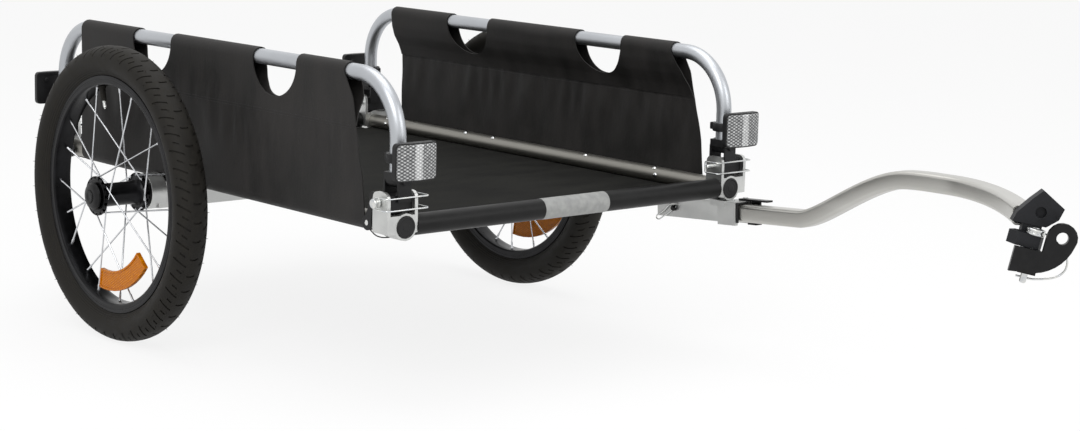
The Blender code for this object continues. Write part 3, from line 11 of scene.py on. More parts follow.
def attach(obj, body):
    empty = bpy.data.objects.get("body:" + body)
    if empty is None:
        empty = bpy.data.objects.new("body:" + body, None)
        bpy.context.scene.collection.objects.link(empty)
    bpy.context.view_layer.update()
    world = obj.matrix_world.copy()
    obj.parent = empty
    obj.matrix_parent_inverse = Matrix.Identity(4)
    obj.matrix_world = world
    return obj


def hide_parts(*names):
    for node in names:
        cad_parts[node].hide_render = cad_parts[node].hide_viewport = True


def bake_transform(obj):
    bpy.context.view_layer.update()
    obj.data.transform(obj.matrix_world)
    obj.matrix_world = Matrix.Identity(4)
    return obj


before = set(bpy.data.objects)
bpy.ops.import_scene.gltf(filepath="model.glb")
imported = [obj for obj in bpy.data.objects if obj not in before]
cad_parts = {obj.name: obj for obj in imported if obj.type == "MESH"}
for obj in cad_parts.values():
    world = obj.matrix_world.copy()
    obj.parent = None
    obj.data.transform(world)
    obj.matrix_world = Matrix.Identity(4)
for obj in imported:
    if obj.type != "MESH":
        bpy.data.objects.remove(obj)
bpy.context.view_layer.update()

# Metres from the point on the ground under the axle: forwards, left and up
AXLE_X = -0.417393
AXLE_Z = 0.2
WHEEL_Y = 0.352
ORIGIN = Matrix.Translation((AXLE_X, 0, 0))
POST_X = {1: 0.519, -1: -0.274}
TUBE_Y = 0.2755
TUBE_Z = 0.2276
TUBE_RADIUS = 0.0111
TUBE_WALL = 0.0015
RAIL_Z = 0.404
RAIL_RADIUS = 0.0101
SEAM_Z = 0.339
HINGE_Z = 0.283
PIN_Z = 0.257
REFLECTOR_Z = 0.309
SIDES = (1, -1)
CORNERS = [(end, side) for end in SIDES for side in SIDES]
# Points closer than this are one point
MERGE = 0.000002
# Metres between the bands of a wave texture whose scale is 1
BAND_STEP = 0.314


def side_name(side):
    return "left" if side > 0 else "right"


def corner_name(end, side):
    return ("front_" if end > 0 else "rear_") + side_name(side)


# Finishes
def colour(code):
    """The linear colour of an sRGB hex value."""
    parts = [int(code[i : i + 2], 16) / 255 for i in (1, 3, 5)]
    return [p / 12.92 if p <= 0.04045 else ((p + 0.055) / 1.055) ** 2.4 for p in parts] + [1.0]


def add_node(mat, kind, inputs=None, **settings):
    """Adds one node to a material, with its settings and with values or links on its inputs."""
    node = mat.node_tree.nodes.new("ShaderNode" + kind)
    for name, value in settings.items():
        setattr(node, name, value)
    for socket, value in (inputs or {}).items():
        if isinstance(value, bpy.types.NodeSocket):
            mat.node_tree.links.new(value, node.inputs[socket])
        else:
            node.inputs[socket].default_value = value
    return node


def link(mat, output, socket):
    mat.node_tree.links.new(output, mat.node_tree.nodes["Principled BSDF"].inputs[socket])


def surface(
    name, dark, light, patch, rough, grain, height, metallic=0.0, stretch=(1, 1, 1), uv=False, **more
):
    """A finish that drifts between two shades over patches, under a fine grain: both are sized in metres."""
    mat = bpy.data.materials.new(name)
    mat.use_nodes = True
    shader = mat.node_tree.nodes["Principled BSDF"]
    shader.inputs["Metallic"].default_value = metallic
    for socket, value in more.items():
        shader.inputs[socket.replace("_", " ").title().replace("Ior", "IOR")].default_value = value
    where = add_node(mat, "TexCoord").outputs["UV" if uv else "Object"]
    where = add_node(mat, "Mapping", {"Vector": where, "Scale": stretch}).outputs[0]
    drift = add_node(mat, "TexNoise", {"Vector": where, "Scale": 1 / patch, "Detail": 5.0}).outputs["Fac"]
    share = add_node(mat, "MapRange", {"Value": drift, "From Min": 0.34, "From Max": 0.66}).outputs[0]
    tones = {0: share, 6: colour(dark), 7: colour(light)}
    shade = add_node(mat, "Mix", tones, data_type="RGBA", name="shade")
    worn = {"Value": drift, "From Min": 0.3, "From Max": 0.7, "To Min": rough[0], "To Max": rough[1]}
    wear = add_node(mat, "MapRange", worn)
    speck = add_node(mat, "TexNoise", {"Vector": where, "Scale": 1 / grain, "Detail": 3.0}).outputs["Fac"]
    bump = add_node(mat, "Bump", {"Height": speck, "Distance": height}, name="bump")
    link(mat, shade.outputs[2], "Base Color")
    link(mat, wear.outputs[0], "Roughness")
    link(mat, bump.outputs[0], "Normal")
    return mat


def woven(name, dark, light, thread, rough, height, **more):
    """Plain weave on the sheet's own map, whose unit is a metre, with lighter and darker streaks down the
    cloth: painted shade and sheen of soft creases.
    """
    mat = surface(
        name, dark, light,
        patch=0.030, rough=rough, grain=0.004, height=0.0002, stretch=(1, 0.28, 1), uv=True, **more,
    )
    nodes = mat.node_tree.nodes
    flat = add_node(mat, "TexCoord").outputs["UV"]
    band = {"Vector": flat, "Scale": BAND_STEP / thread / 2, "Distortion": 0.6}
    waves = [add_node(mat, "TexWave", band, bands_direction=way).outputs["Fac"] for way in "XY"]
    cross = add_node(mat, "Math", {0: waves[0], 1: waves[1]}, operation="MULTIPLY").outputs[0]
    weave = add_node(mat, "Bump", {"Height": cross, "Distance": height, "Normal": nodes["bump"].outputs[0]})
    # painted shade in the hollows of the weave, lighter on the raised threads
    painted_weave_shade = add_node(mat, "MapRange", {"Value": cross, "To Min": 0.80, "To Max": 1.10}).outputs[0]
    shade = add_node(mat, "VectorMath", {0: nodes["shade"].outputs[2], 3: painted_weave_shade}, operation="SCALE")
    link(mat, shade.outputs[0], "Base Color")
    link(mat, weave.outputs[0], "Normal")
    return mat


def prismatic(name, dark, light, facet, across, middle=False, **more):
    """Moulded lens: rows of small prisms that cross at 60 degrees, with painted glints: each facet's colour
    is as bright as its tilt would make it.
    """
    mat = surface(name, dark, light, patch=0.006, rough=(0.12, 0.24), grain=0.0012, height=0.00001, **more)
    flat = add_node(mat, "TexCoord").outputs["Object"]
    rows = []
    for turn in (-30, 30):
        lean = [math.radians(turn) if axis == across else 0 for axis in "XYZ"]
        leant = add_node(mat, "Mapping", {"Vector": flat, "Rotation": lean}).outputs[0]
        band = {"Vector": leant, "Scale": BAND_STEP / facet}
        wave = add_node(mat, "TexWave", band, bands_direction="Z", wave_profile="TRI")
        rows.append(wave.outputs["Fac"])
    prism = add_node(mat, "Math", {0: rows[0], 1: rows[1]}, operation="MULTIPLY").outputs[0]
    facets = add_node(mat, "Bump", {"Height": prism, "Distance": 0.0004, "Strength": 0.6})
    # a painted glint of random strength in each cell of prisms
    cell = add_node(mat, "TexVoronoi", {"Vector": flat, "Scale": 1 / facet}).outputs["Color"]
    spark = add_node(mat, "MapRange", {"Value": cell, "To Min": 0.5, "To Max": 1.3}).outputs[0]
    bright = add_node(mat, "Math", {0: prism, 1: spark}, operation="MULTIPLY").outputs[0]
    if middle:
        # the plain upright band between the two fields of prisms gets a painted highlight, with soft edges
        side = add_node(mat, "SeparateXYZ", {0: flat}).outputs["Y"]
        side = add_node(mat, "Math", {0: side}, operation="ABSOLUTE").outputs[0]
        side = add_node(mat, "Math", {0: side, 1: TUBE_Y}, operation="SUBTRACT").outputs[0]
        side = add_node(mat, "Math", {0: side}, operation="ABSOLUTE").outputs[0]
        edge = {"Value": side, "From Min": 0.0066, "From Max": 0.0040, "To Max": 0.35}
        band = add_node(mat, "MapRange", edge).outputs[0]
        bright = add_node(mat, "Math", {0: bright, 1: band}, operation="ADD").outputs[0]
    whole = add_node(mat, "Math", {0: bright, 1: 1.0}, operation="MINIMUM")
    mat.node_tree.links.new(whole.outputs[0], mat.node_tree.nodes["shade"].inputs[0])
    link(mat, facets.outputs[0], "Normal")
    return mat


def tyre_finish():
    """Vulcanised rubber: matt black with a brown cast, and fine moulded rings round the sidewall."""
    spacing, sidewall, edge = 0.0024, 0.168, 0.172
    mat = surface(
        "vulcanised_rubber", "#181613", "#211f1b",
        patch=0.012, rough=(0.58, 0.74), grain=0.0009, height=0.00005, specular_ior_level=0.2,
    )
    grain = mat.node_tree.nodes["bump"].outputs[0]
    flat = add_node(mat, "TexCoord").outputs["Object"]
    # the rings are round the axle, so the pattern's centre is moved there and its width is left out
    centre = {"Vector": flat, "Location": (-AXLE_X, 0, -AXLE_Z), "Scale": (1, 0, 1)}
    hub = add_node(mat, "Mapping", centre).outputs[0]
    far = add_node(mat, "VectorMath", {0: hub}, operation="LENGTH").outputs["Value"]
    ring = add_node(mat, "Math", {0: far, 1: 2 * math.pi / spacing}, operation="MULTIPLY").outputs[0]
    ring = add_node(mat, "Math", {0: ring}, operation="SINE").outputs[0]
    only = add_node(mat, "MapRange", {"Value": far, "From Min": edge, "From Max": sidewall}).outputs[0]
    ring = add_node(mat, "Math", {0: ring, 1: only}, operation="MULTIPLY").outputs[0]
    rings = add_node(mat, "Bump", {"Height": ring, "Distance": 0.0002, "Normal": grain})
    link(mat, rings.outputs[0], "Normal")
    return mat


# Drawn aluminium tube, blasted and anodised clear: a soft, even silver with a cool cast
TUBE = surface(
    "clear_anodised_tube", "#b1b4b8", "#bdc0c4",
    patch=0.090, rough=(0.38, 0.44), grain=0.0012, height=0.00001, metallic=1.0,
)
# The same tube under the bed, with painted shade and a painted reflection of the dark cloth: darker and
# warmer than the rails
SHADED_FLOOR_TUBE = surface(
    "floor_tube_painted_shade", "#82807a", "#94928c",
    patch=0.060, rough=(0.36, 0.46), grain=0.0010, height=0.00001, metallic=1.0, stretch=(0.1, 1, 1),
)
# Pressure-cast aluminium, tumbled: whiter than the tubes, with a sandy skin
CAST = surface(
    "tumbled_cast_aluminium", "#bdbebd", "#cbccca",
    patch=0.030, rough=(0.36, 0.46), grain=0.0009, height=0.00004, metallic=1.0,
)
# Extruded aluminium, anodised matt: warm grey, with drawing lines along the bar
BAR = surface(
    "matt_anodised_bar", "#b9b8b3", "#c7c6c2",
    patch=0.050, rough=(0.30, 0.38), grain=0.0010, height=0.000008, metallic=1.0, stretch=(0.06, 1, 1),
)
# Powder-coated tube: satin black with a faint orange peel
SLEEVE = surface(
    "black_powder_coat", "#0c0c0c", "#131313",
    patch=0.020, rough=(0.36, 0.46), grain=0.0018, height=0.00004, specular_ior_level=0.2,
)
# Glass-filled nylon: dull black with the spark-eroded grain of its mould
NYLON = surface(
    "moulded_nylon", "#0f0f10", "#171718",
    patch=0.015, rough=(0.44, 0.58), grain=0.0006, height=0.00003, specular_ior_level=0.3,
)
# Steel under black dip paint: a little glossier than the mouldings
PAINTED = surface(
    "black_dipped_steel", "#0a0a0b", "#121213",
    patch=0.010, rough=(0.26, 0.38), grain=0.0012, height=0.00003, specular_ior_level=0.25,
)
# Black anodised alloy: dark metal that still shows the lamps
ALLOY = surface(
    "black_anodised_alloy", "#181819", "#222224",
    patch=0.020, rough=(0.26, 0.36), grain=0.0010, height=0.00001, metallic=0.85,
)
# Cast polyurethane: soft matt black with a blue cast
ELASTOMER = surface(
    "cast_polyurethane", "#101114", "#191a1e",
    patch=0.010, rough=(0.48, 0.60), grain=0.0010, height=0.00003, specular_ior_level=0.3,
)
RUBBER = tyre_finish()
# Zinc plating, bright with a trace of yellow and blue
ZINC = surface(
    "bright_zinc_plate", "#c3c6c9", "#dadad6",
    patch=0.006, rough=(0.16, 0.26), grain=0.0008, height=0.00001, metallic=1.0,
)
# Drawn stainless wire: bright and even, with a cool cast
STAINLESS = surface(
    "drawn_stainless_wire", "#c4c6c9", "#dcdde0",
    patch=0.015, rough=(0.18, 0.26), grain=0.0008, height=0.000005, metallic=1.0,
)
# Coated polyester: charcoal with a warm cast; its threads are 0.5 mm, drawn at 0.9 mm so that they show
SIDE_CLOTH = woven(
    "coated_polyester", "#1c1b1a", "#2d2b2a",
    thread=0.0009, rough=(0.52, 0.70), height=0.00007, specular_ior_level=0.25,
)
# Heavier fabric of the bed: a basket weave of 1.4 mm, so matt that it stays dark at a low angle
BED_CLOTH = woven(
    "coated_nylon_basket_weave", "#1f1f1e", "#2a2a28",
    thread=0.0014, rough=(0.80, 0.92), height=0.00012, specular_ior_level=0.06,
)
# Sewing thread: dull black, rounder than the weave
THREAD = surface(
    "bonded_nylon_thread", "#121213", "#2b2b2c",
    patch=0.004, rough=(0.5, 0.7), grain=0.0004, height=0.00002,
)
# Moulded acrylic, clear, red and amber: painted glints, bright facets on a dark ground, under a smooth face
CLEAR = prismatic(
    "clear_acrylic_prisms", "#2a2c2e", "#eceded",
    facet=0.0036, across="X", middle=True, coat_weight=0.3, coat_roughness=0.10,
)
RED = prismatic(
    "red_acrylic_prisms", "#5e0503", "#c61a10", facet=0.0029, across="X", specular_ior_level=0.2,
)
AMBER = prismatic(
    "amber_acrylic_prisms", "#b05f00", "#f59b00", facet=0.0030, across="Y", specular_ior_level=0.12,
)
# Reflective tape: pearly grey with a bead of glass in each cell
TAPE = surface(
    "glass_bead_tape", "#8a8b8a", "#9b9c9a",
    patch=0.010, rough=(0.45, 0.60), grain=0.0007, height=0.00005, specular_ior_level=0.3,
)


# Modelling
def alone(obj=None):
    """Leaves edit mode and selects nothing, or only this object."""
    if bpy.context.mode != "OBJECT":
        bpy.ops.object.mode_set(mode="OBJECT")
    bpy.ops.object.select_all(action="DESELECT")
    bpy.context.view_layer.objects.active = obj
    if obj:
        obj.select_set(True)


def edit(obj):
    alone(obj)
    bpy.ops.object.mode_set(mode="EDIT")
    bpy.ops.mesh.select_all(action="SELECT")


def pick(test, kind="FACE"):
    """In edit mode, selects the faces (by middle and normal) or edges (by middle and way) that pass."""
    bpy.ops.mesh.select_mode(type=kind)
    bpy.ops.mesh.select_all(action="DESELECT")
    data = bpy.context.object.data
    mesh = bmesh.from_edit_mesh(data)
    for face in mesh.faces if kind == "FACE" else ():
        face.select_set(bool(test(face.calc_center_median(), face.normal)))
    for edge in mesh.edges if kind == "EDGE" else ():
        start, stop = (v.co for v in edge.verts)
        edge.select_set(bool(test((start + stop) / 2, (stop - start).normalized())))
    bmesh.update_edit_mesh(data)


def sink(depth):
    """In edit mode, sinks the selected faces along their normals."""
    bpy.ops.mesh.extrude_region_shrink_fatten(TRANSFORM_OT_shrink_fatten={"value": -depth})


def face_out(obj):
    """Leaves edit mode with every face of the object turned outwards."""
    edit(obj)
    bpy.ops.mesh.normals_make_consistent(inside=False)
    alone(obj)
    return obj


def placed(obj, matrix=None):
    """Puts an object at its place and leaves the place in its mesh."""
    if matrix is not None:
        obj.matrix_world = matrix @ obj.matrix_world
    alone(obj)
    bpy.ops.object.transform_apply(location=True, rotation=True, scale=True)
    return obj


def aimed(middle, axis):
    """Turns a shape drawn along Z to lie along an axis through a point."""
    return Matrix.Translation(middle) @ Vector(axis).to_track_quat("Z", "Y").to_matrix().to_4x4()


def eased(obj, width=0.0005, segments=2, angle=32):
    """Smooths the faces and rounds the edges that are sharper than the angle."""
    alone(obj)
    bpy.ops.object.shade_smooth_by_angle(angle=math.radians(angle))
    if width:
        bevel = obj.modifiers.new("eased edges", "BEVEL")
        bevel.width = width
        bevel.segments = segments
        bevel.angle_limit = math.radians(angle)
        bevel.harden_normals = True
        bpy.ops.object.modifier_apply(modifier=bevel.name)
    return obj


def discard(*patterns):
    """Removes pieces that were only drawn to be copied or cut with."""
    for obj in patterns:
        bpy.data.objects.remove(obj)


def finished(obj, name, body, finish, slot, *nodes):
    """Names a piece, gives it its finish and its body, if one is given, and replaces the CAD nodes."""
    obj.name = name
    obj.data.name = name
    obj.data.materials.clear()
    obj.data.materials.append(finish)
    if body:
        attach(obj, body)
    if nodes:
        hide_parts(*nodes)
    return obj


def block(low, high, corner=0.0, along=0):
    """A cube between two corners, with its edges along one axis rounded."""
    alone()
    middle = [(a + b) / 2 for a, b in zip(low, high)]
    size = [abs(b - a) for a, b in zip(low, high)]
    bpy.ops.mesh.primitive_cube_add(size=1, location=middle, scale=size)
    obj = placed(bpy.context.object)
    if corner:
        edit(obj)
        pick(lambda at, way: abs(way[along]) > 0.99, "EDGE")
        bpy.ops.mesh.bevel(offset=corner, segments=5, affect="EDGES")
    alone(obj)
    return obj


def turned(section, steps=48):
    """Spins a closed section round Z: each of its points is (distance along the axis, distance from it)."""
    alone()
    bpy.ops.mesh.primitive_circle_add(vertices=len(section), radius=0.01)
    obj = bpy.context.object
    for point, (along, out) in zip(obj.data.vertices, section):
        point.co = (out, 0, along)
    edit(obj)
    bpy.ops.mesh.spin(steps=steps, angle=2 * math.pi, center=(0, 0, 0), axis=(0, 0, 1))
    bpy.ops.mesh.select_all(action="SELECT")
    bpy.ops.mesh.remove_doubles(threshold=MERGE)
    bpy.ops.mesh.delete_loose(use_verts=True, use_edges=True, use_faces=False)
    bpy.ops.mesh.select_all(action="SELECT")
    bpy.ops.mesh.normals_make_consistent(inside=False)
    alone(obj)
    return obj


def poly_curve(points, closed=False):
    """A curve that runs straight from point to point."""
    alone()
    bpy.ops.curve.primitive_bezier_curve_add()
    obj = bpy.context.object
    obj.data.splines.clear()
    line = obj.data.splines.new("POLY")
    line.points.add(len(points) - 1)
    for knot, place in zip(line.points, points):
        knot.co = (*place, 1)
    line.use_cyclic_u = closed
    return obj


def meshed(obj):
    """Makes a curve a mesh, with its seams merged and its faces outwards."""
    alone(obj)
    bpy.ops.object.convert(target="MESH")
    edit(obj)
    bpy.ops.mesh.remove_doubles(threshold=MERGE)
    return face_out(obj)


def bent(points, radius, rings):
    """A round wire or tube along points, closed at its ends."""
    obj = poly_curve(points)
    curve = obj.data
    curve.use_fill_caps = True
    curve.twist_mode = "MINIMUM"
    curve.bevel_depth = radius
    curve.bevel_resolution = rings
    return meshed(obj)


def rounded_route(points, radius, steps):
    """The route with each corner rounded by an arc, as a wire is bent."""
    points = [Vector(p) for p in points]
    route = [points[0]]
    for last, here, following in zip(points, points[1:], points[2:]):
        before, after = last - here, following - here
        reach = min(radius, before.length * 0.48, after.length * 0.48)
        start, stop = here + before.normalized() * reach, here + after.normalized() * reach
        route += interpolate_bezier(start, here.lerp(start, 0.45), here.lerp(stop, 0.45), stop, steps + 1)
    return [*route, points[-1]]


def arc(centre, radius, start, end, steps):
    """Points round a centre from one angle to another."""
    return [
        (centre[0] + radius * math.cos(t), centre[1] + radius * math.sin(t))
        for t in (start + (end - start) * k / steps for k in range(steps + 1))
    ]


def copied(obj, matrix):
    """A copy with its own mesh, moved by the matrix."""
    twin = obj.copy()
    twin.data = obj.data.copy()
    bpy.context.scene.collection.objects.link(twin)
    return placed(twin, matrix)


def joined(objects):
    alone(objects[0])
    for obj in objects[1:]:
        obj.select_set(True)
    bpy.ops.object.join()
    return bpy.context.object


def recast(node, width=0.0008, segments=3, angle=32):
    """A copy of a CAD node, with its loose triangles merged, its flats made whole and its edges rounded."""
    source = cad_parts[node]
    obj = source.copy()
    obj.data = source.data.copy()
    for key in [k for k in obj.keys() if k.startswith("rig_")]:
        del obj[key]
    bpy.context.scene.collection.objects.link(obj)
    obj.parent = None
    obj.hide_render = obj.hide_viewport = False
    edit(obj)
    bpy.ops.mesh.remove_doubles(threshold=0.00001)
    bpy.ops.mesh.dissolve_limited(angle_limit=math.radians(0.6))
    alone(obj)
    return eased(obj, width, segments, angle)


def kept_form(node, made, body, finish, slot, width, segments=3, angle=32):
    """Finishes a CAD node in its own form, as it was cast, forged or moulded, with its edges rounded."""
    finished(recast(node, width, segments, angle), f"{node}_{made}", body, finish, slot, node)


# Wheels: drawn with the outer face upwards, then turned to stand at each side
WHEEL_PLACE = {
    side: ORIGIN
    @ Matrix.Translation((0, side * WHEEL_Y, AXLE_Z))
    @ Matrix.Rotation(0 if side > 0 else math.pi, 4, "Z")
    @ Matrix.Rotation(-math.pi / 2, 4, "X")
    for side in SIDES
}
TREAD_COLUMNS = 300
# Where the columns of one pitch of the tread start, as shares of the pitch: grooves are narrow, blocks wide
TREAD_PITCH = (0, 0.10, 0.30, 0.50, 0.60, 0.80)
TREAD_EDGE = 0.186
TREAD_DEPTH = 0.0013
# Moulding whiskers: across the tyre, out from the axle, and the lean in degrees
WHISKERS = ((0.0214, 0.1896, 62), (-0.0214, 0.1896, -62), (0.0118, 0.1979, 22), (-0.0118, 0.1979, -22))
WHISKER_ROWS = 34
RIM_BED = 0.1476
HUB_COLUMNS = 80
HUB_EDGE = 0.0262
NOTCH_DEPTH = 0.0034
# Spokes of one flange, and the degrees that each one covers between its ends
SPOKES = 10
SPOKE_LEAN = 72
SPOKE_RADIUS = 0.0011
# Circles of their heads and nipples, and how far off the wheel's middle these are
HEAD_CIRCLE, HEAD_OFF = 0.0235, 0.0283
NIPPLE_CIRCLE, NIPPLE_OFF = 0.1472, 0.0035
# Crossing spokes pass each other by this
SPOKE_GAP = 0.0005
# Seen from outside the right wheel, the valve is up and a little to the rear
VALVE_TURN = {1: -105.4, -1: -74.6}


def both_walls(half):
    """A closed section from its half on one side of the wheel's middle plane."""
    return half + [(-along, out) for along, out in reversed(half)]


def columns_round(at, columns):
    """How many columns a point lies round its axis."""
    return (math.atan2(at.y, at.x) % (2 * math.pi)) / (2 * math.pi / columns)


def tyre():
    """Casing with smooth sidewalls, and a slick tread with thin slanted grooves across it."""
    half = [
        (0.0112, 0.1560), (0.0116, 0.1604), (0.0150, 0.1640), (0.0202, 0.1705), (0.0230, 0.1770),
        (0.0235, 0.1820), (0.0229, 0.1862), (0.0213, 0.1899), (0.0190, 0.1930), (0.0161, 0.1955),
        (0.0129, 0.1974), (0.0095, 0.1988), (0.0060, 0.1996), (0.0025, 0.2000),
    ]
    obj = turned(both_walls(half), TREAD_COLUMNS)

    def groove(at, way):
        out, across = math.hypot(at.x, at.y), abs(at.z)
        if out < TREAD_EDGE:
            return False
        column = round(columns_round(at, TREAD_COLUMNS) - 0.5) % len(TREAD_PITCH)
        if column == 0:
            return 0.0080 < across < 0.0222
        return column == 3 and (across < 0.0075 or 0.0145 < across < 0.0200)

    edit(obj)
    pick(groove)
    sink(TREAD_DEPTH)
    alone(obj)
    pitch = 2 * math.pi / TREAD_COLUMNS * len(TREAD_PITCH)
    for point in obj.data.vertices:
        # the grooves slant more and more towards the shoulder
        step, share = divmod(columns_round(point.co, TREAD_COLUMNS) + 0.0001, len(TREAD_PITCH))
        slant = 0.55 * (abs(point.co.z) / 0.0235) ** 1.6
        angle = pitch * (step + TREAD_PITCH[min(int(share), 5)] + slant)
        out = math.hypot(point.co.x, point.co.y)
        point.co = (out * math.cos(angle), out * math.sin(angle), point.co.z)
    eased(obj, 0, angle=38)
    return joined([obj, *whiskers()])


def whiskers():
    """Thin hairs of rubber, left by the mould's vents on the shoulders and by the edges of the tread."""
    alone()
    bpy.ops.mesh.primitive_cone_add(vertices=5, radius1=0.0007, radius2=0.00015, depth=0.0048)
    whisker = placed(bpy.context.object)
    hairs = []
    for number in range(WHISKER_ROWS):
        for across, out, lean in WHISKERS:
            tread = abs(lean) < 40
            angle = 2 * math.pi * (number + 0.37 * (lean > 0) + 0.5 * tread) / WHISKER_ROWS
            if tread and abs(angle % (2 * math.pi) - math.pi / 2) < 0.5:
                continue
            stand = Matrix.Rotation(angle, 4, "Z") @ Matrix.Translation((out, 0, across))
            hairs.append(copied(whisker, stand @ Matrix.Rotation(math.radians(90 - lean), 4, "Y")))
    discard(whisker)
    return hairs


def rim():
    """Box-section rim with hooked flanges and a machined groove on each wall."""
    half = [
        (0.0120, 0.1545), (0.0120, 0.1592), (0.0112, 0.1600), (0.0118, 0.1607), (0.0133, 0.1605),
        (0.0135, 0.1598), (0.0135, 0.1562), (0.0131, 0.1558), (0.0135, 0.1554), (0.0135, 0.1503),
        (0.0122, 0.1484), (0.0100, 0.1476), (0.0050, 0.1473),
    ]
    return eased(turned(both_walls(half), 144), 0.0003)


def hub():
    """Two thick flanges notched all round, on a waisted barrel with a boss at each end."""
    half = [
        (0.0356, 0.0064), (0.0356, 0.0138), (0.0350, 0.0145), (0.0336, 0.0145), (0.0336, 0.0222),
        (0.0331, 0.0230), (0.0331, 0.0265), (0.0301, 0.0265), (0.0301, 0.0230), (0.0296, 0.0222),
        (0.0296, 0.0186), (0.0270, 0.0166), (0.0200, 0.0158), (0.0060, 0.0156),
    ]
    obj = turned(both_walls(half), HUB_COLUMNS)

    def notch(at, way):
        number = round(columns_round(at, HUB_COLUMNS) - 0.5)
        return math.hypot(at.x, at.y) > HUB_EDGE and number % 5 < 2

    edit(obj)
    pick(notch)
    sink(NOTCH_DEPTH)
    return eased(obj, 0.00025)


def spoke_set(way, phase):
    """Ten crossed spokes of one flange, each with its head at the flange and its nipple in the rim."""
    ends = []
    for number in range(SPOKES):
        lean = 1 if number % 2 == 0 else -1
        at_hub = phase + 2 * math.pi / SPOKES * number
        at_rim = at_hub + lean * math.radians(SPOKE_LEAN)
        off = 0 if lean > 0 else -way * SPOKE_GAP
        head = (HEAD_CIRCLE * math.cos(at_hub), -HEAD_CIRCLE * math.sin(at_hub), way * HEAD_OFF + off)
        tip = (NIPPLE_CIRCLE * math.cos(at_rim), -NIPPLE_CIRCLE * math.sin(at_rim), way * NIPPLE_OFF + off)
        ends.append((Vector(head), Vector(tip)))
    length = (ends[0][1] - ends[0][0]).length
    profile = [
        (0, 0), (0, 0.0010), (0.0005, SPOKE_RADIUS), (length - 0.0115, SPOKE_RADIUS),
        (length - 0.0110, 0.0014), (length - 0.0105, 0.0016), (length - 0.0020, 0.0016),
        (length - 0.0012, 0.0021), (length, 0.0021), (length, 0),
    ]
    spoke = eased(turned(profile, 10), 0)
    head = eased(turned([(0, 0), (0, 0.0019), (0.0008, 0.0019), (0.0016, 0.0010), (0.0018, 0)], 12), 0)
    pieces = []
    for start, stop in ends:
        pieces.append(copied(spoke, aimed(start, stop - start)))
        pieces.append(copied(head, aimed(start + Vector((0, 0, way * 0.0010)), (0, 0, -way))))
    discard(spoke, head)
    return joined(pieces)


def valve():
    """Rubber stem that stands inwards from the rim, and its bright threaded tip."""
    stem = [
        (0, 0), (0, 0.0060), (0.0015, 0.0062), (0.0040, 0.0046), (0.0065, 0.0040),
        (0.0200, 0.0034), (0.0206, 0.0030), (0.0206, 0),
    ]
    tip = [(0.0206, 0), (0.0206, 0.0026)]
    for groove in range(5):
        start = 0.0014 * groove
        tip += [(0.0214 + start, 0.0026), (0.0219 + start, 0.0023), (0.0224 + start, 0.0026)]
    tip += [(0.0290, 0.0026), (0.0294, 0.0016), (0.0315, 0.0016), (0.0317, 0)]
    return eased(turned(stem, 20), 0.0002), eased(turned(tip, 20), 0)


def axle():
    """Quick-release axle: a long pin with a collar, and a domed cap with a rim and a well for its button."""
    section = [
        (-0.0895, 0), (-0.0895, 0.0050), (-0.0885, 0.0060), (-0.0860, 0.0060), (-0.0856, 0.0054),
        (-0.0836, 0.0054), (-0.0832, 0.0060), (-0.0392, 0.0060), (-0.0392, 0.0094), (-0.0386, 0.0100),
        (-0.03568, 0.0100), (-0.03568, 0.0060), (0.03568, 0.0060), (0.03568, 0.0180), (0.0361, 0.0185),
        (0.0372, 0.0185), (0.0376, 0.0181), (0.0380, 0.0185), (0.0386, 0.0185), (0.0392, 0.0178),
        (0.0404, 0.0168), (0.0416, 0.0150), (0.0423, 0.0125), (0.0427, 0.0100), (0.0427, 0.0091),
        (0.0376, 0.0091), (0.0376, 0),
    ]
    return eased(turned(section, 72), 0.00025)


def button():
    """Dished button that stands in the well of the axle's cap."""
    section = [
        (0.04018, 0), (0.04018, 0.0087), (0.0434, 0.0087), (0.0440, 0.0081), (0.04418, 0.0066),
        (0.04418, 0.0052), (0.0437, 0.0044), (0.0435, 0),
    ]
    return eased(turned(section, 48), 0.0002)


def wheels():
    """Both wheels from one set of patterns, and the lens of each wheel's reflector."""
    patterns = [
        (tyre(), "tyre", "wheel", RUBBER, "tyre_rubber"),
        (rim(), "rim", "wheel", ALLOY, "black_alloy"),
        (hub(), "hub", "wheel", ALLOY, "black_alloy"),
        (axle(), "wheel_axle", "axle", PAINTED, "black_steel"),
        (button(), "release_button", "button", NYLON, "black_plastic"),
        (spoke_set(1, 0), "spokes_outer", "wheel", STAINLESS, "spoke_steel"),
        (spoke_set(-1, math.pi / SPOKES), "spokes_inner", "wheel", STAINLESS, "spoke_steel"),
    ]
    stem, tip = valve()
    for obj, node, body, finish, slot in patterns:
        for side in SIDES:
            name = f"{node}_{side_name(side)}"
            made = copied(obj, WHEEL_PLACE[side])
            finished(made, name + "_turned", f"{body}_{side_name(side)}", finish, slot, name)
        discard(obj)
    for side in SIDES:
        wheel = "wheel_" + side_name(side)
        turn = Matrix.Rotation(math.radians(VALVE_TURN[side]), 4, "Z")
        inwards = turn @ Matrix.Translation((RIM_BED, 0, 0)) @ Matrix.Rotation(-math.pi / 2, 4, "Y")
        made = copied(stem, WHEEL_PLACE[side] @ inwards)
        finished(made, "valve_stem_" + side_name(side), wheel, RUBBER, "tyre_rubber")
        made = copied(tip, WHEEL_PLACE[side] @ inwards)
        finished(made, "valve_tip_" + side_name(side), wheel, ZINC, "zinc_steel")
        name = "wheel_reflector_" + side_name(side)
        lens = recast(name)
        edit(lens)
        # both flat faces of the arc are sunk inside a narrow rim
        pick(lambda at, way: abs(way.y) > 0.99 and abs(at.y) > 0.3)
        bpy.ops.mesh.inset(thickness=0.0022)
        sink(0.0010)
        alone(lens)
        finished(lens, name + "_lens", wheel, AMBER, "amber_reflector", name)
    discard(stem, tip)


# Frame tubes, castings and hinges
FLOOR_TUBE = (-0.287, 0.532)
CROSS_TUBE = 0.25745
CROSS_RADIUS = 0.0132
# The cross tubes stand this far outside the posts
CROSS_OUT = 0.006
BAND = (-0.0545, 0.0535)
BAND_RADIUS = 0.01345
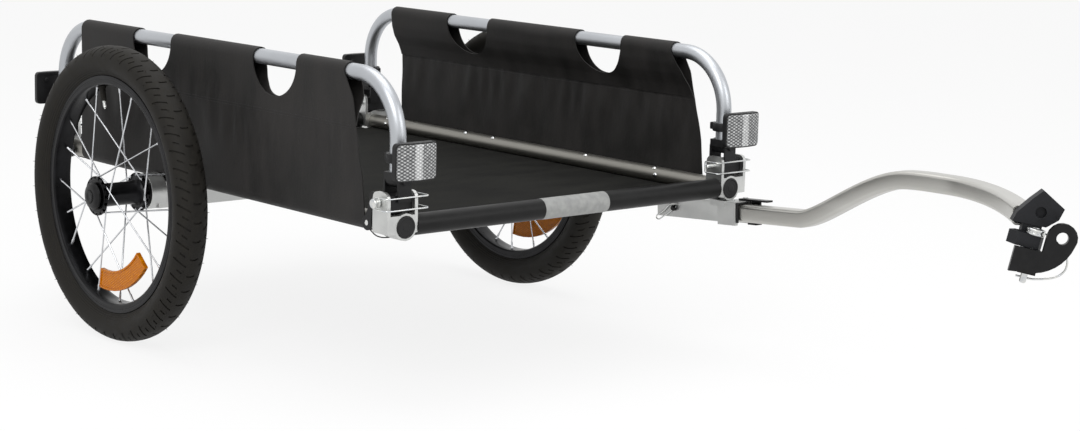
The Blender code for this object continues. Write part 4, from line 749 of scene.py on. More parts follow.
# Along a floor tube from the axle, and degrees up from the level line that points inwards
RIVETS = ((-0.219, 62), (-0.023, 62), (0.042, 62), (0.251, 62), (0.394, 62), (0.401, 4), (-0.219, 4))
RAIL_FOOT = 0.2893
RAIL_BEND = 0.075


def open_tube(low, high, outer, wall):
    return turned([(low, outer - wall), (low, outer), (high, outer), (high, outer - wall)], 64)


def frame_tubes():
    """Two floor tubes, each with a cap in front and a plug behind, and two sleeved cross tubes."""
    cap = [
        (0.5323, 0), (0.5323, 0.0138), (0.5370, 0.0138), (0.5380, 0.0130), (0.53815, 0.0112),
        (0.5374, 0.0106), (0.5374, 0.0052), (0.5379, 0.0046), (0.5380, 0),
    ]
    plug = [
        (-0.2915, 0), (-0.2920, 0.0085), (-0.2913, 0.0105), (-0.2890, 0.0110), (-0.2873, 0.0110),
        (-0.2873, 0),
    ]
    for side in SIDES:
        where = side_name(side)
        along = aimed((AXLE_X, side * TUBE_Y, TUBE_Z), (1, 0, 0))
        made = eased(placed(open_tube(*FLOOR_TUBE, TUBE_RADIUS, TUBE_WALL), along), 0.0003)
        # the floor tubes take the tube finish darkened by painted shade
        finished(made, f"floor_tube_{where}_drawn", "bed", SHADED_FLOOR_TUBE, "satin_tube", "floor_tube_" + where)
        made = eased(placed(turned(cap), along), 0.0002)
        finished(made, f"end_cap_{where}_moulded", "bed", NYLON, "black_plastic", "end_cap_" + where)
        made = eased(placed(turned(plug), along), 0.0002)
        finished(made, "rear_plug_" + where, "bed", NYLON, "black_plastic")
    for end in SIDES:
        name = "cross_tube_" + ("front" if end > 0 else "rear")
        across = aimed((AXLE_X + POST_X[end] + end * CROSS_OUT, 0, TUBE_Z), (0, 1, 0))
        made = eased(placed(open_tube(-CROSS_TUBE, CROSS_TUBE, CROSS_RADIUS, TUBE_WALL), across), 0.0003)
        finished(made, name + "_coated", "bed", SLEEVE, "sleeved_tube", name)
    across = aimed((AXLE_X + POST_X[1] + CROSS_OUT, 0, TUBE_Z), (0, 1, 0))
    band = eased(placed(open_tube(*BAND, BAND_RADIUS, 0.0002), across), 0)
    finished(band, "cross_tube_band", "bed", TAPE, "clear_reflector")


def rivets():
    """Domed heads on each floor tube, where the fabric is held: five along its inner top, and two low."""
    dome = [
        (-0.0010, 0), (-0.0010, 0.0030), (0.0002, 0.0035), (0.0011, 0.0028), (0.0018, 0.0012),
        (0.0018, 0),
    ]
    head = eased(turned(dome, 20), 0)
    for side in SIDES:
        heads = []
        for x, rise in RIVETS:
            out = Vector((0, -side * math.cos(math.radians(rise)), math.sin(math.radians(rise))))
            foot = Vector((AXLE_X + x, side * TUBE_Y, TUBE_Z)) + out * TUBE_RADIUS
            heads.append(copied(head, aimed(foot, out)))
        finished(joined(heads), f"floor_tube_{side_name(side)}_rivets", "bed", ZINC, "zinc_steel")
    discard(head)


def corners():
    """Castings, feet and knuckles in their own forms."""
    for end, side in CORNERS:
        where, body = corner_name(end, side), "side_" + side_name(side)
        kept_form("corner_casting_" + where, "cast", "bed", CAST, "cast_aluminium", 0.0009, angle=30)
        kept_form("rail_foot_" + where, "moulded", "bed", NYLON, "black_plastic", 0.0007, angle=30)
        kept_form("rail_knuckle_" + where, "moulded", body, NYLON, "black_plastic", 0.0010, angle=30)


def lobes():
    """Moulded strap, drawn for the front left corner: a big lobe riveted to the tube, a small one above."""
    low, high = Vector((-0.0400, 0.2262)), Vector((-0.0285, 0.2590))
    low_radius, high_radius, waist = 0.0095, 0.0072, 0.0042
    back, face = 0.2888, 0.2909
    way = (high - low).normalized()
    tilt = math.atan2(way.y, way.x)
    narrow, beside = low.lerp(high, 0.56), Vector((way.y, -way.x)) * waist
    outline = arc(low, low_radius, tilt + 0.75, tilt + 2 * math.pi - 0.75, 20) + [tuple(narrow + beside)]
    outline += arc(high, high_radius, tilt - 2.3, tilt + 2.3, 20) + [tuple(narrow - beside)]
    alone()
    bpy.ops.mesh.primitive_circle_add(vertices=len(outline), radius=0.01, fill_type="NGON")
    strap = bpy.context.object
    for point, (x, z) in zip(strap.data.vertices, outline):
        point.co = (x, back, z)
    edit(strap)
    bpy.ops.mesh.extrude_region_move(TRANSFORM_OT_translate={"value": (0, 0.0022, 0)})
    eased(face_out(strap))
    dome = [(0.0, 0), (0.0, 0.0032), (0.0006, 0.0034), (0.0014, 0.0024), (0.0018, 0.0010), (0.0018, 0)]
    rivet = placed(eased(turned(dome, 24), 0), aimed((low.x, face, low.y), (0, 1, 0)))
    route = [
        (-0.0345, 0.2898, 0.2185), (-0.0270, 0.2870, 0.2118), (-0.0160, 0.2850, 0.2108),
        (-0.0060, 0.2820, 0.2125),
    ]
    wire = eased(bent(rounded_route(route, 0.004, 5), 0.0008, 3), 0, angle=50)
    return strap, rivet, wire


def straps():
    """The strap, its rivet and its wire at each corner: two of the corners are mirrored."""
    strap, rivet, wire = lobes()
    for end, side in CORNERS:
        where = corner_name(end, side)
        stand = ORIGIN @ Matrix.Translation((POST_X[end], 0, 0)) @ Matrix.Diagonal((end, side, 1, 1))
        for obj, name, finish, slot in (
            (strap, "strap", NYLON, "black_plastic"),
            (rivet, "strap_rivet", ZINC, "zinc_steel"),
            (wire, "strap_wire", PAINTED, "black_steel"),
        ):
            made = copied(obj, stand)
            if end * side < 0:
                edit(made)
                bpy.ops.mesh.flip_normals()
            alone(made)
            finished(made, f"{name}_{where}", "bed", finish, slot)
    discard(strap, rivet, wire)


def rails():
    """Bent tube of each side: up the front post, along the top and down the rear post."""
    front, rear, top = POST_X[1], POST_X[-1], RAIL_Z - RAIL_BEND
    route = [(front, RAIL_FOOT), *arc((front - RAIL_BEND, top), RAIL_BEND, 0, math.pi / 2, 24)]
    route += [*arc((rear + RAIL_BEND, top), RAIL_BEND, math.pi / 2, math.pi, 24), (rear, RAIL_FOOT)]
    for side in SIDES:
        name, body = "rail_" + side_name(side), "side_" + side_name(side)
        rail = placed(bent([(x, side * TUBE_Y, z) for x, z in route], RAIL_RADIUS, 10), ORIGIN)
        finished(eased(rail, 0.0003, angle=40), name + "_drawn", body, TUBE, "satin_tube", name)


# Reflectors: one is drawn at the origin of its post, facing forwards, and stands at all four corners
BOW = 0.0055
BOW_HALF = 0.031


def barrel(wide, high, corner, front, back, across, up, prism=0.0):
    """Flat-backed form with rounded corners, whose front bows like a barrel and may carry rows of prisms."""
    alone()
    bpy.ops.mesh.primitive_grid_add(x_subdivisions=across, y_subdivisions=up, size=1)
    obj = bpy.context.object
    for number, point in enumerate(obj.data.vertices):
        column, row = number % (across + 1), number // (across + 1)
        y, z = point.co.x * wide, point.co.y * high
        past_y, past_z = abs(y) - wide / 2 + corner, abs(z) - high / 2 + corner
        if past_y > 0 and past_z > 0:
            shrink = max(past_y, past_z) / math.hypot(past_y, past_z)
            y = math.copysign(wide / 2 - corner + past_y * shrink, y)
            z = math.copysign(high / 2 - corner + past_z * shrink, z)
        edge = column in (0, across) or row in (0, up)
        lift = prism if (column + row) % 2 and not edge else 0
        point.co = (front - BOW * (abs(y) / BOW_HALF) ** 2 + lift, y, z)
    edit(obj)
    bpy.ops.mesh.extrude_region_move(TRANSFORM_OT_translate={"value": (-0.02, 0, 0)})
    alone(obj)
    for point in obj.data.vertices:
        if point.select:
            point.co.x = back
    return face_out(obj)


def post_reflector():
    """Clamp band, arm and housing, and a lens that stands a little proud of the housing's bowed front."""
    band = turned([
        (-0.0055, 0.0104), (-0.0055, 0.0141), (-0.0048, 0.0145), (0.0048, 0.0145), (0.0055, 0.0141),
        (0.0055, 0.0104),
    ])
    ears = block((-0.0215, -0.0042, -0.0048), (-0.0120, 0.0042, 0.0048), 0.0015, 1)
    arm = block((0.0135, -0.0060, -0.0050), (0.0300, 0.0060, 0.0050), 0.0015, 0)
    shell = barrel(0.0620, 0.0460, 0.0060, 0.0408, 0.0285, 26, 20)
    edit(shell)
    # the back of the housing is hollowed inside a rim
    pick(lambda at, way: way.x < -0.99)
    bpy.ops.mesh.inset(thickness=0.0040)
    bpy.ops.mesh.extrude_region_move(TRANSFORM_OT_translate={"value": (0.0012, 0, 0)})
    alone(shell)
    screw = turned([(-0.003, 0), (-0.003, 0.0030), (0.0010, 0.0030), (0.0018, 0.0022), (0.0018, 0)], 20)
    screws = [
        copied(screw, aimed((-0.0170, 0.0042, 0), (0, 1, 0))),
        copied(screw, aimed((0.0295, 0.0150, 0.0120), (-1, 0, 0))),
        copied(screw, aimed((0.0295, -0.0150, 0.0120), (-1, 0, 0))),
    ]
    discard(screw)
    housing = joined([eased(piece) for piece in (band, ears, arm, shell, *screws)])
    lens = barrel(0.0586, 0.0426, 0.0045, 0.0413, 0.0330, 30, 22, prism=0.0008)
    return housing, eased(lens, 0, angle=14)


def reflectors():
    """Housing and lens at each corner: clear ones face forwards, red ones to the rear."""
    housing, lens = post_reflector()
    for end, side in CORNERS:
        name, body = "reflector_" + corner_name(end, side), "side_" + side_name(side)
        stand = ORIGIN @ Matrix.Translation((POST_X[end], side * TUBE_Y, REFLECTOR_Z))
        stand = stand @ Matrix.Rotation(0 if end > 0 else math.pi, 4, "Z")
        finished(copied(housing, stand), name + "_housing", body, NYLON, "black_plastic", name)
        tone, slot = (CLEAR, "clear_reflector") if end > 0 else (RED, "red_reflector")
        finished(copied(lens, stand), name + "_lens", body, tone, slot, name)
    discard(housing, lens)


# Lock pins and the wire bails that hold them: drawn for the front left corner, then turned to the others
def lock_pin():
    """Plain pin with a grooved head."""
    section = [
        (0.24575, 0), (0.24575, 0.0020), (0.24675, 0.0030), (0.30355, 0.0030), (0.30355, 0.0054),
        (0.3041, 0.0060), (0.3066, 0.0060), (0.3070, 0.0055), (0.3096, 0.0055), (0.3100, 0.0060),
        (0.3122, 0.0060), (0.31305, 0.0052), (0.31305, 0),
    ]
    return eased(turned(section, 36), 0.0002)


def lock_bail():
    """Wire that pivots in the pin's head, goes round the ears and loops over the pin's tip."""
    run, head, tip, lift = 0.0225, 0.3083, 0.24445, 0.0073
    half = [(0, head), (run, head), (run, tip), (0.0030, tip)]
    upper = [(x, y, lift) for x, y in half]
    lower = [(x, y, -lift) for x, y in reversed(half)]
    route = rounded_route([*upper, (-0.0010, tip, lift), (-0.0010, tip, -lift), *lower], 0.0042, 7)
    return eased(bent(route, 0.001, 3), 0, angle=50)


def lock_pins():
    """Pin and wire at each corner."""
    pin, wire = lock_pin(), lock_bail()
    to_left = Matrix.Rotation(-math.pi / 2, 4, "X")
    for end, side in CORNERS:
        where = corner_name(end, side)
        stand = ORIGIN @ Matrix.Translation((POST_X[end], 0, PIN_Z))
        if side < 0:
            stand = stand @ Matrix.Rotation(math.pi, 4, "X")
        if end < 0:
            stand = stand @ Matrix.Rotation(math.pi, 4, "Y")
        name = "lock_pin_" + where
        finished(copied(pin, stand @ to_left), name + "_turned", "pin_" + where, ZINC, "zinc_steel", name)
        name = "lock_bail_" + where
        finished(copied(wire, stand), name + "_wire", "bail_" + where, ZINC, "zinc_steel", name)
    discard(pin, wire)


# Cloth: each sheet is laid out on a map in metres, hung on the tubes and given its thickness
CLOTH = 0.0014
# The middle of the cloth's thickness runs at these distances round a rail and round a floor tube
OVER_RAIL = 0.0113
OVER_TUBE = 0.0122
# Height and place of the side panels' forward edge, from the rail down to the floor tube
FRONT_EDGE = ((0.404, 0.424), (0.375, 0.442), (0.339, 0.4505), (0.283, 0.465), (0.2145, 0.473))
PANEL_REAR = -0.206
PANEL_COLUMNS = 150
HAND_HOLES = (-0.018, 0.275)
# Half the length and half the height of a hand hole
HAND_HOLE = (0.0485, 0.046)
# Lengths of the waves in the hung cloth: long ones, gathers under the seam, and puckers and their beat
WAVE, GATHER, PUCKER, BEAT = 0.142, 0.036, 0.019, 0.083
STITCH = 0.0035


def panel_front(z):
    """Forward edge of a side panel, which slopes forwards towards the floor."""
    for (z_high, x_high), (z_low, x_low) in zip(FRONT_EDGE, FRONT_EDGE[1:]):
        if z >= z_low:
            return x_high + (x_low - x_high) * min(max((z_high - z) / (z_high - z_low), 0), 1)
    return FRONT_EDGE[-1][1]


def even(points, spacing):
    """The same path with points an even distance apart, and how far along it each one is."""
    line = [Vector(p) for p in points]
    steps = [(b - a).length for a, b in zip(line, line[1:])]
    total = sum(steps)
    count = round(total / spacing)
    made, k, passed = [], 0, 0.0
    for number in range(count + 1):
        far = total * number / count
        while k < len(steps) - 1 and far > passed + steps[k]:
            passed += steps[k]
            k += 1
        made.append((line[k].lerp(line[k + 1], (far - passed) / steps[k]), far))
    return made


def cloth(name, rows, columns, place, flat):
    """A sheet of quads, without a thickness, and with a map of its flat pattern."""
    points = [place(row, column) for row in rows for column in columns]
    wide = len(columns)
    faces = [
        (i * wide + j, i * wide + j + 1, (i + 1) * wide + j + 1, (i + 1) * wide + j)
        for i in range(len(rows) - 1)
        for j in range(wide - 1)
    ]
    mesh = bpy.data.meshes.new(name)
    mesh.from_pydata(points, [], faces)
    where = mesh.uv_layers.new(name="pattern")
    spots = [flat(row, column) for row in rows for column in columns]
    for loop in mesh.loops:
        where.data[loop.index].uv = spots[loop.vertex_index]
    obj = bpy.data.objects.new(name, mesh)
    bpy.context.scene.collection.objects.link(obj)
    return obj


def thickened(obj):
    """Gives a sheet its thickness, half to each side."""
    skin = obj.modifiers.new("thickness", "SOLIDIFY")
    skin.thickness = CLOTH
    skin.offset = 0
    skin.use_even_offset = True
    alone(obj)
    bpy.ops.object.modifier_apply(modifier=skin.name)
    return face_out(obj)


def swell(x, z):
    """How far the cloth stands off its flat: long waves and gathers below the seam, puckers beside it."""
    turn = 2 * math.pi * x
    down = (SEAM_Z - z) / (SEAM_Z - HINGE_Z)
    depth = math.sin(math.radians(126) * min(max(down, 0), 1.42))
    waves = 0.0013 * math.sin(turn / WAVE + 0.6) + 0.0008 * math.sin(2 * turn / WAVE + 2.1)
    pucker = math.sin(turn / PUCKER) * math.sin(turn / BEAT + 1.0)
    drawn = math.sin(2 * math.pi * (x / GATHER + 0.35 * math.sin(x * 31)))
    drawn *= math.exp(-(((z - 0.312) / 0.022) ** 2))
    return max(depth, 0) * waves + 0.0006 * pucker * math.exp(-abs(z - SEAM_Z) / 0.012) + 0.0014 * drawn


def side_path():
    """Section of a side panel: up inside the rail from the seam, over it, down and under the floor tube."""
    inside = [(0.0104, 0.3405), (0.0096, 0.3440), (0.0052, 0.3560), (-0.0039, 0.3715), (-0.0088, 0.3860)]
    outside = [
        (0.0112, 0.3880), (0.0111, 0.3715), (0.0113, 0.3550), (0.0119, 0.3430), (OVER_TUBE, SEAM_Z),
        (OVER_TUBE, TUBE_Z),
    ]
    over = [
        (OVER_RAIL * math.cos(t), RAIL_Z + OVER_RAIL * math.sin(t))
        for t in (math.pi * (1 - k / 16) for k in range(17))
    ]
    under = [
        (OVER_TUBE * math.cos(t), TUBE_Z - OVER_TUBE * math.sin(t))
        for t in (math.pi / 2 * k / 8 for k in range(1, 9))
    ]
    return even([Vector((a, b, 0)) for a, b in inside + over + outside + under], 0.0042)


def cut_hand_holes(panel, side):
    """Cuts both hand holes through the cloth, over the rail."""
    for x in HAND_HOLES:
        alone()
        bpy.ops.mesh.primitive_cylinder_add(
            vertices=72, radius=1, depth=0.09, location=(AXLE_X + x, side * TUBE_Y, RAIL_Z),
            rotation=(math.pi / 2, 0, 0), scale=(*HAND_HOLE, 1),
        )
        waste = placed(bpy.context.object)
        knife = panel.modifiers.new("hand hole", "BOOLEAN")
        knife.operation = "DIFFERENCE"
        knife.solver = "EXACT"
        knife.object = waste
        alone(panel)
        bpy.ops.object.modifier_apply(modifier=knife.name)
        discard(waste)


def side_panel(side):
    """One sheet, sewn to itself at the seam to hold the rail, and hung from it to the floor tube."""
    rows = side_path()
    crest = next(far for (offset, z, _), far in rows if z > RAIL_Z and offset > 0)

    def along(z, share):
        return PANEL_REAR + (panel_front(z) - PANEL_REAR) * share

    def place(row, share):
        (offset, z, _), far = row
        x = along(z, share)
        outer = far > crest and z > TUBE_Z
        hang = swell(x, z) if outer else 0.0006 * math.sin(x * 47 + far * 60) * (far < crest - 0.02)
        return (AXLE_X + x, side * (TUBE_Y + offset + hang), z)

    def flat(row, share):
        (_, z, _), far = row
        return (along(z, share), far)

    columns = [k / PANEL_COLUMNS for k in range(PANEL_COLUMNS + 1)]
    name, body = "side_fabric_" + side_name(side), "side_" + side_name(side)
    panel = thickened(cloth(name + "_panel", rows, columns, place, flat))
    cut_hand_holes(panel, side)
    eased(panel, 0, angle=42)
    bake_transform(panel)
    finished(panel, name + "_panel", None, SIDE_CLOTH, "side_cloth", name)


def stitches(side):
    """Rows of stitches along the seam that closes the sleeve over the rail: two outside and one inside."""
    bead = [(-0.0013, 0), (-0.0010, 0.00022), (0, 0.00030), (0.0010, 0.00022), (0.0013, 0)]
    pattern = eased(turned(bead, 6), 0)
    dashes = []
    for z, offset, outer in ((0.3368, OVER_TUBE, 1), (0.3402, 0.0121, 1), (0.3368, OVER_TUBE, -1)):
        count = int((panel_front(z) - PANEL_REAR - 0.010) / STITCH)
        for number in range(count):
            x = PANEL_REAR + 0.006 + STITCH * number
            y = TUBE_Y + offset + swell(x, z) + outer * (CLOTH / 2 + 0.0001)
            dashes.append(copied(pattern, aimed((AXLE_X + x, side * y, z), (1, 0, 0))))
    discard(pattern)
    name = "side_fabric_" + side_name(side) + "_stitches"
    finished(joined(dashes), name, "side_" + side_name(side), THREAD, "side_cloth")


def bed_rows():
    """Rows of the floor sheet, from under the left tube over the bed to under the right one."""
    floor_z, inner_y = 0.2168, 0.257
    dip = math.asin(0.0098 / OVER_TUBE)
    wrap = [
        (TUBE_Y + OVER_TUBE * math.cos(t), TUBE_Z + OVER_TUBE * math.sin(t))
        for t in (1.5 * math.pi - (math.pi / 2 - dip) * k / 6 for k in range(7))
    ]
    half = [Vector((y, z, 0)) for y, z in (*wrap, (TUBE_Y - 0.0140, floor_z), (inner_y, floor_z))]
    mirror = [Vector((-y, z, 0)) for y, z, _ in reversed(half)]
    rows = even(half, 0.0030)
    for path, spacing in (([half[-1], mirror[0]], 0.0060), (mirror, 0.0030)):
        passed = rows[-1][1]
        rows += [(point, passed + far) for point, far in even(path, spacing)[1:]]
    return rows


def bed_sheet():
    """One sheet, drawn tight under both floor tubes, with faint creases from its corners."""
    start, stop, notch_rear, notch_front = -0.2710, 0.5160, -0.261, 0.506
    rows = bed_rows()
    columns = [start, *[notch_rear + (notch_front - notch_rear) * k / 130 for k in range(131)], stop]

    def place(row, x):
        (y, z, _), far = row
        inward = min(1.0, max(0.0, (0.2615 - abs(y)) / 0.05))
        sag = -0.0004 * inward
        crease = 0.0
        for corner_x, corner_y in ((start, 0.26), (start, -0.26), (stop, 0.26), (stop, -0.26)):
            dx, dy = x - corner_x, y - corner_y
            near = math.exp(-math.hypot(dx, dy) / 0.16)
            crease += near * math.sin(14 * math.atan2(abs(dy), abs(dx)))
        ripple = 0.0002 * math.sin(x * 52 + 2.1 * math.sin(y * 17)) * math.cos(y * 9 + 0.6)
        return (AXLE_X + x, y, z + inward * (sag + 0.0005 * crease + ripple))

    sheet = cloth("floor_fabric_sheet", rows, columns, place, lambda row, x: (x, row[1]))
    edit(sheet)
    # the corners round the tubes are cut away, where the castings stand
    pick(lambda at, way: abs(at.y) > 0.2571 and not notch_rear < at.x - AXLE_X < notch_front)
    bpy.ops.mesh.delete(type="FACE")
    alone(sheet)
    eased(thickened(sheet), 0, angle=42)
    finished(sheet, "floor_fabric_sheet", "bed", BED_CLOTH, "floor_cloth", "floor_fabric")


# Axle beam, and the receiver, pin and latch of the tow bar
TOW_PIVOT = Vector((0.437, 0.2855, 0.187))
TOW_TILT = math.radians(4.2)
BAR_FRAME = ORIGIN @ Matrix.Translation(TOW_PIVOT) @ Matrix.Rotation(-TOW_TILT, 4, "Y")
CLIP_Y = 0.2678


def beam_and_receiver():
    """Beam, receiver and latch in their own forms, and the turned pin that the bar folds on."""
    kept_form("axle_beam", "cast", "bed", CAST, "cast_aluminium", 0.0012)
    kept_form("tow_receiver", "cast", "bed", CAST, "cast_aluminium", 0.0009)
    kept_form("tow_latch", "spring", "bed", PAINTED, "black_steel", 0.0007)
    section = [
        (-0.0208, 0), (-0.0208, 0.0030), (-0.0198, 0.0040), (0.0161, 0.0040), (0.0161, 0.0060),
        (0.0166, 0.0065), (0.0182, 0.0065), (0.0190, 0.0052), (0.0190, 0.0026), (0.0184, 0.0022),
        (0.0184, 0),
    ]
    pin = placed(turned(section, 32), BAR_FRAME @ Matrix.Rotation(-math.pi / 2, 4, "X"))
    finished(eased(pin, 0.0002), "tow_pivot_pin_turned", "bed", PAINTED, "black_steel", "tow_pivot_pin")


def liner():
    """Black lining that stands out of the receiver's mouth, on the inner side of the bar and over it."""
    inner = block((0.1182, -0.0160, -0.0125), (0.1204, -0.0132, 0.0150))
    roof = block((0.1182, -0.0150, 0.0124), (0.1204, 0.0060, 0.0150))
    pieces = [eased(piece) for piece in (inner, roof)]
    finished(placed(joined(pieces), BAR_FRAME), "tow_receiver_liner", "bed", NYLON, "black_plastic")


def clip():
    """Spring wire through the pivot pin's inner end: a straight leg, a loop, and a wavy leg back over it."""
    route = [
        (0.0050, 0.0030), (-0.0080, -0.0070), (-0.0285, -0.0205), (-0.0335, -0.0190), (-0.0330, -0.0150),
        (-0.0180, -0.0060), (-0.0090, 0.0035), (-0.0020, 0.0062), (0.0060, 0.0075),
    ]
    points = [(AXLE_X + TOW_PIVOT.x + x, CLIP_Y, TOW_PIVOT.z + z) for x, z in route]
    wire = eased(bent(rounded_route(points, 0.004, 5), 0.0009, 3), 0, angle=50)
    finished(wire, "tow_pivot_clip", "bed", ZINC, "zinc_steel")


# Tow bar and hitch
BAR_END = Vector((1.085, 0.188, 0.279))
END_YAW = math.radians(-42)
HITCH_TURN = Matrix.Rotation(END_YAW, 4, "Z") @ Matrix.Rotation(math.radians(-12), 4, "X")
HITCH_AT = Vector((0.692691 - AXLE_X, 0.175507, 0.254))
HITCH_FRAME = ORIGIN @ Matrix.Translation(HITCH_AT) @ HITCH_TURN


def bar_route():
    """Level through the receiver, up in an S, then hooked inwards: a knot has a place, a way and handles."""
    rise = Vector((1, 0, math.tan(TOW_TILT))).normalized()
    inwards = Vector((math.cos(END_YAW), math.sin(END_YAW), 0))
    knots = (
        (TOW_PIVOT - rise * 0.0115, rise, 0.020, 0.020, 4),
        (Vector((0.660, 0.2855, 0.2034)), rise, 0.020, 0.035, 28),
        (Vector((0.835, 0.2855, 0.2785)), Vector((1, 0, 0.09)).normalized(), 0.062, 0.025, 8),
        (Vector((0.900, 0.2855, 0.2808)), Vector((1, 0, 0.015)).normalized(), 0.025, 0.062, 28),
        (BAR_END - inwards * 0.020, inwards, 0.055, 0.005, 2),
        (BAR_END, inwards, 0.005, 0.005, 0),
    )
    route = [knots[0][0]]
    for (place, along, _, after, steps), (end, into, before, _, _) in zip(knots, knots[1:]):
        route += interpolate_bezier(place, place + along * after, end - into * before, end, steps + 1)[1:]
    return route


def tow_bar():
    """Extruded box tube with broad rounded corners, open at both ends."""
    corners = []
    for turn, (a, b) in enumerate(((1, 1), (-1, 1), (-1, -1), (1, -1))):
        corners += arc((a * 0.0075, b * 0.0065), 0.005, turn * math.pi / 2, (turn + 1) * math.pi / 2, 6)
    section = poly_curve([(a, b, 0) for a, b in reversed(corners)], closed=True)
    section.data.dimensions = "2D"
    obj = poly_curve(bar_route())
    obj.data.twist_mode = "Z_UP"
    obj.data.bevel_mode = "OBJECT"
    obj.data.bevel_object = section
    meshed(obj)
    discard(section)
    wall = obj.modifiers.new("wall", "SOLIDIFY")
    wall.thickness = 0.0025
    wall.offset = -1
    bpy.ops.object.modifier_apply(modifier=wall.name)
    bar = eased(placed(obj, ORIGIN), 0.0003, angle=40)
    finished(bar, "tow_bar_extruded", "tow_arm", BAR, "bar_aluminium", "tow_bar")


def hitch():
    """Connector and plate in their own forms, and the turned pin with its spring wire."""
    kept_form("flex_connector", "cast", "tow_arm", ELASTOMER, "elastomer", 0.0022, 4)
    kept_form("hitch_plate", "forged", "hitch", PAINTED, "black_steel", 0.0014, 4)
    head, top, rim_out, neck_out = 0.0078, 0.0150, 0.0105, 0.0040
    section = [
        (-0.0485, 0), (-0.0485, 0.0028), (-0.0470, neck_out), (head, neck_out), (head, 0.0100),
        (head + 0.0006, rim_out), (head + 0.0024, rim_out), (head + 0.0030, 0.0096),
        (head + 0.0042, 0.0096), (head + 0.0048, rim_out), (top - 0.0006, rim_out), (top, 0.0098),
        (top, 0.0066), (top - 0.0006, 0.0060), (top - 0.0006, 0),
    ]
    pin = eased(placed(turned(section, 48), HITCH_FRAME), 0.0002)
    finished(pin, "hitch_pin_turned", "hitch_lock_pin", ZINC, "zinc_steel", "hitch_pin")
    beside, tip = -0.003, -0.0430
    across = math.sqrt(rim_out**2 - beside**2) + 0.00165
    loop = [
        (across, 0.0114), (0.0220, 0.0080), (0.0340, 0.0010), (0.0430, -0.0100), (0.0455, -0.0200),
        (0.0425, -0.0290), (0.0345, -0.0355), (0.0225, -0.0398), (0.0090, tip),
    ]
    route = [(beside, a, b) for a, b in loop] + [(-0.00555, 0.003, tip), (-0.00555, -0.008, tip)]
    wire = eased(placed(bent(rounded_route(route, 0.006, 4), 0.00125, 4), HITCH_FRAME), 0, angle=50)
    finished(wire, "hitch_bail_wire", "hitch_wire", ZINC, "zinc_steel", "hitch_bail")


# Studio: pale floor, soft lamps, and the camera of the photograph
FLOOR_GLOW = 0.85
WORLD_LEVEL = 0.62
# Name, place, size in metres and power in watts
LAMPS = (
    ("key", (1.6, -2.2, 2.6), 1.8, 46),
    ("fill", (2.8, 1.2, 1.6), 1.6, 20),
    ("top", (-0.3, 0.2, 3.0), 2.4, 34),
)
LAMP_AIM = Vector((0, 0, 0.2))
# In the photograph's pixels: its width, its middle, where its camera looks, and its focal length
PHOTO_WIDTH = 1080
PHOTO_MIDDLE = (540, 215.5)
VIEW_MIDDLE = (519.9, 199.0)
FOCAL = 2287
SENSOR = 36
# The camera's place, in metres from the point on the ground under the axle
EYE = Vector((2.661, -1.921, 0.708))
AZIMUTH, PITCH, ROLL = math.radians(139.36), math.radians(-9.37), math.radians(-1.38)


def background_rays(tree):
    """One for rays from the camera, from a glossy face or through glass, which show the pale background."""
    path = add_node(tree, "LightPath").outputs
    seen = {0: path["Is Camera Ray"], 1: path["Is Glossy Ray"]}
    seen = {0: add_node(tree, "Math", seen, operation="MAXIMUM").outputs[0], 1: path["Is Transmission Ray"]}
    return add_node(tree, "Math", seen, operation="MAXIMUM").outputs[0]


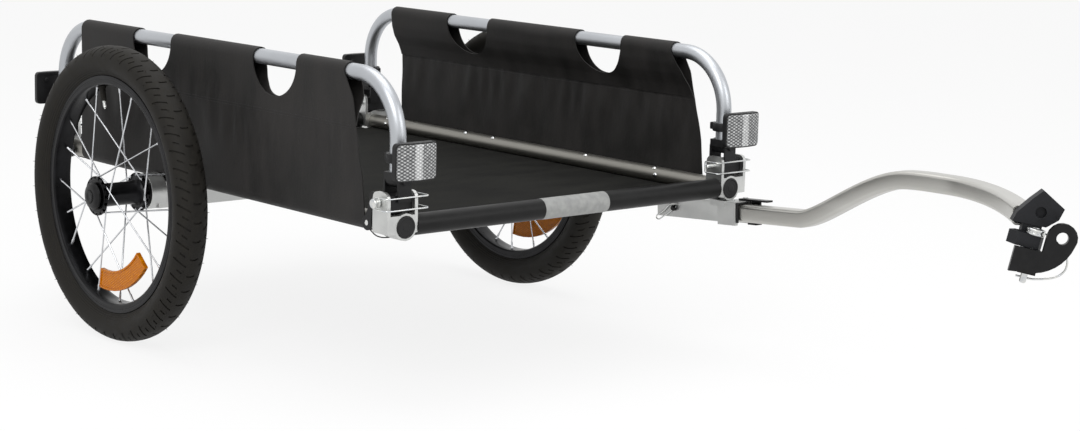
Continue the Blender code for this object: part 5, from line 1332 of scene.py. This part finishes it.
def studio_floor():
    """Pale paper that looks white to the camera and keeps the object's shadow."""
    alone()
    bpy.ops.mesh.primitive_plane_add(size=60, location=(0, 0, 0))
    floor = bpy.context.object
    floor.name = "studio_floor"
    mat = bpy.data.materials.new("pale_studio_paper")
    mat.use_nodes = True
    nodes = mat.node_tree.nodes
    paper = nodes["Principled BSDF"]
    paper.inputs["Base Color"].default_value = colour("#f4f4f4")
    paper.inputs["Roughness"].default_value = 0.9
    seen = background_rays(mat)
    share = add_node(mat, "Math", {0: seen, 1: FLOOR_GLOW}, operation="MULTIPLY").outputs[0]
    glow = add_node(mat, "Emission", {"Color": colour("#ffffff"), "Strength": 1.0}).outputs[0]
    both = add_node(mat, "MixShader", {0: share, 1: paper.outputs[0], 2: glow})
    mat.node_tree.links.new(both.outputs[0], nodes["Material Output"].inputs["Surface"])
    floor.data.materials.append(mat)


def studio_light():
    """White backdrop that lights the object at a plain level, and three soft lamps."""
    world = bpy.data.worlds.new("studio")
    bpy.context.scene.world = world
    world.use_nodes = True
    seen = background_rays(world)
    level = add_node(world, "MapRange", {"Value": seen, "To Min": WORLD_LEVEL, "To Max": 1.0})
    back = world.node_tree.nodes["Background"]
    back.inputs["Color"].default_value = (1, 1, 1, 1)
    world.node_tree.links.new(level.outputs[0], back.inputs["Strength"])
    for name, place, size, power in LAMPS:
        lamp = bpy.data.lights.new(name, "AREA")
        lamp.size = size
        lamp.energy = power
        stand = bpy.data.objects.new(name, lamp)
        bpy.context.scene.collection.objects.link(stand)
        stand.location = place
        stand.rotation_euler = (LAMP_AIM - Vector(place)).to_track_quat("-Z", "Y").to_euler()


def camera():
    """The photograph's own camera."""
    lens = bpy.data.cameras.new("camera")
    eye = bpy.data.objects.new("camera", lens)
    bpy.context.scene.collection.objects.link(eye)
    bpy.context.scene.camera = eye
    lens.sensor_width = SENSOR
    lens.lens = FOCAL / PHOTO_WIDTH * SENSOR
    lens.shift_x = (PHOTO_MIDDLE[0] - VIEW_MIDDLE[0]) / PHOTO_WIDTH
    lens.shift_y = (VIEW_MIDDLE[1] - PHOTO_MIDDLE[1]) / PHOTO_WIDTH
    level = math.cos(PITCH)
    look = Vector((math.cos(AZIMUTH) * level, math.sin(AZIMUTH) * level, math.sin(PITCH)))
    turn = Matrix.Rotation(ROLL, 3, look) @ look.to_track_quat("-Z", "Y").to_matrix()
    eye.matrix_world = ORIGIN @ Matrix.Translation(EYE) @ turn.to_4x4()
    bpy.context.scene.view_settings.view_transform = "Standard"


wheels()
frame_tubes()
rivets()
corners()
straps()
rails()
reflectors()
lock_pins()
for side in SIDES:
    side_panel(side)
    stitches(side)
bed_sheet()
beam_and_receiver()
liner()
clip()
tow_bar()
hitch()
studio_floor()
studio_light()
camera()
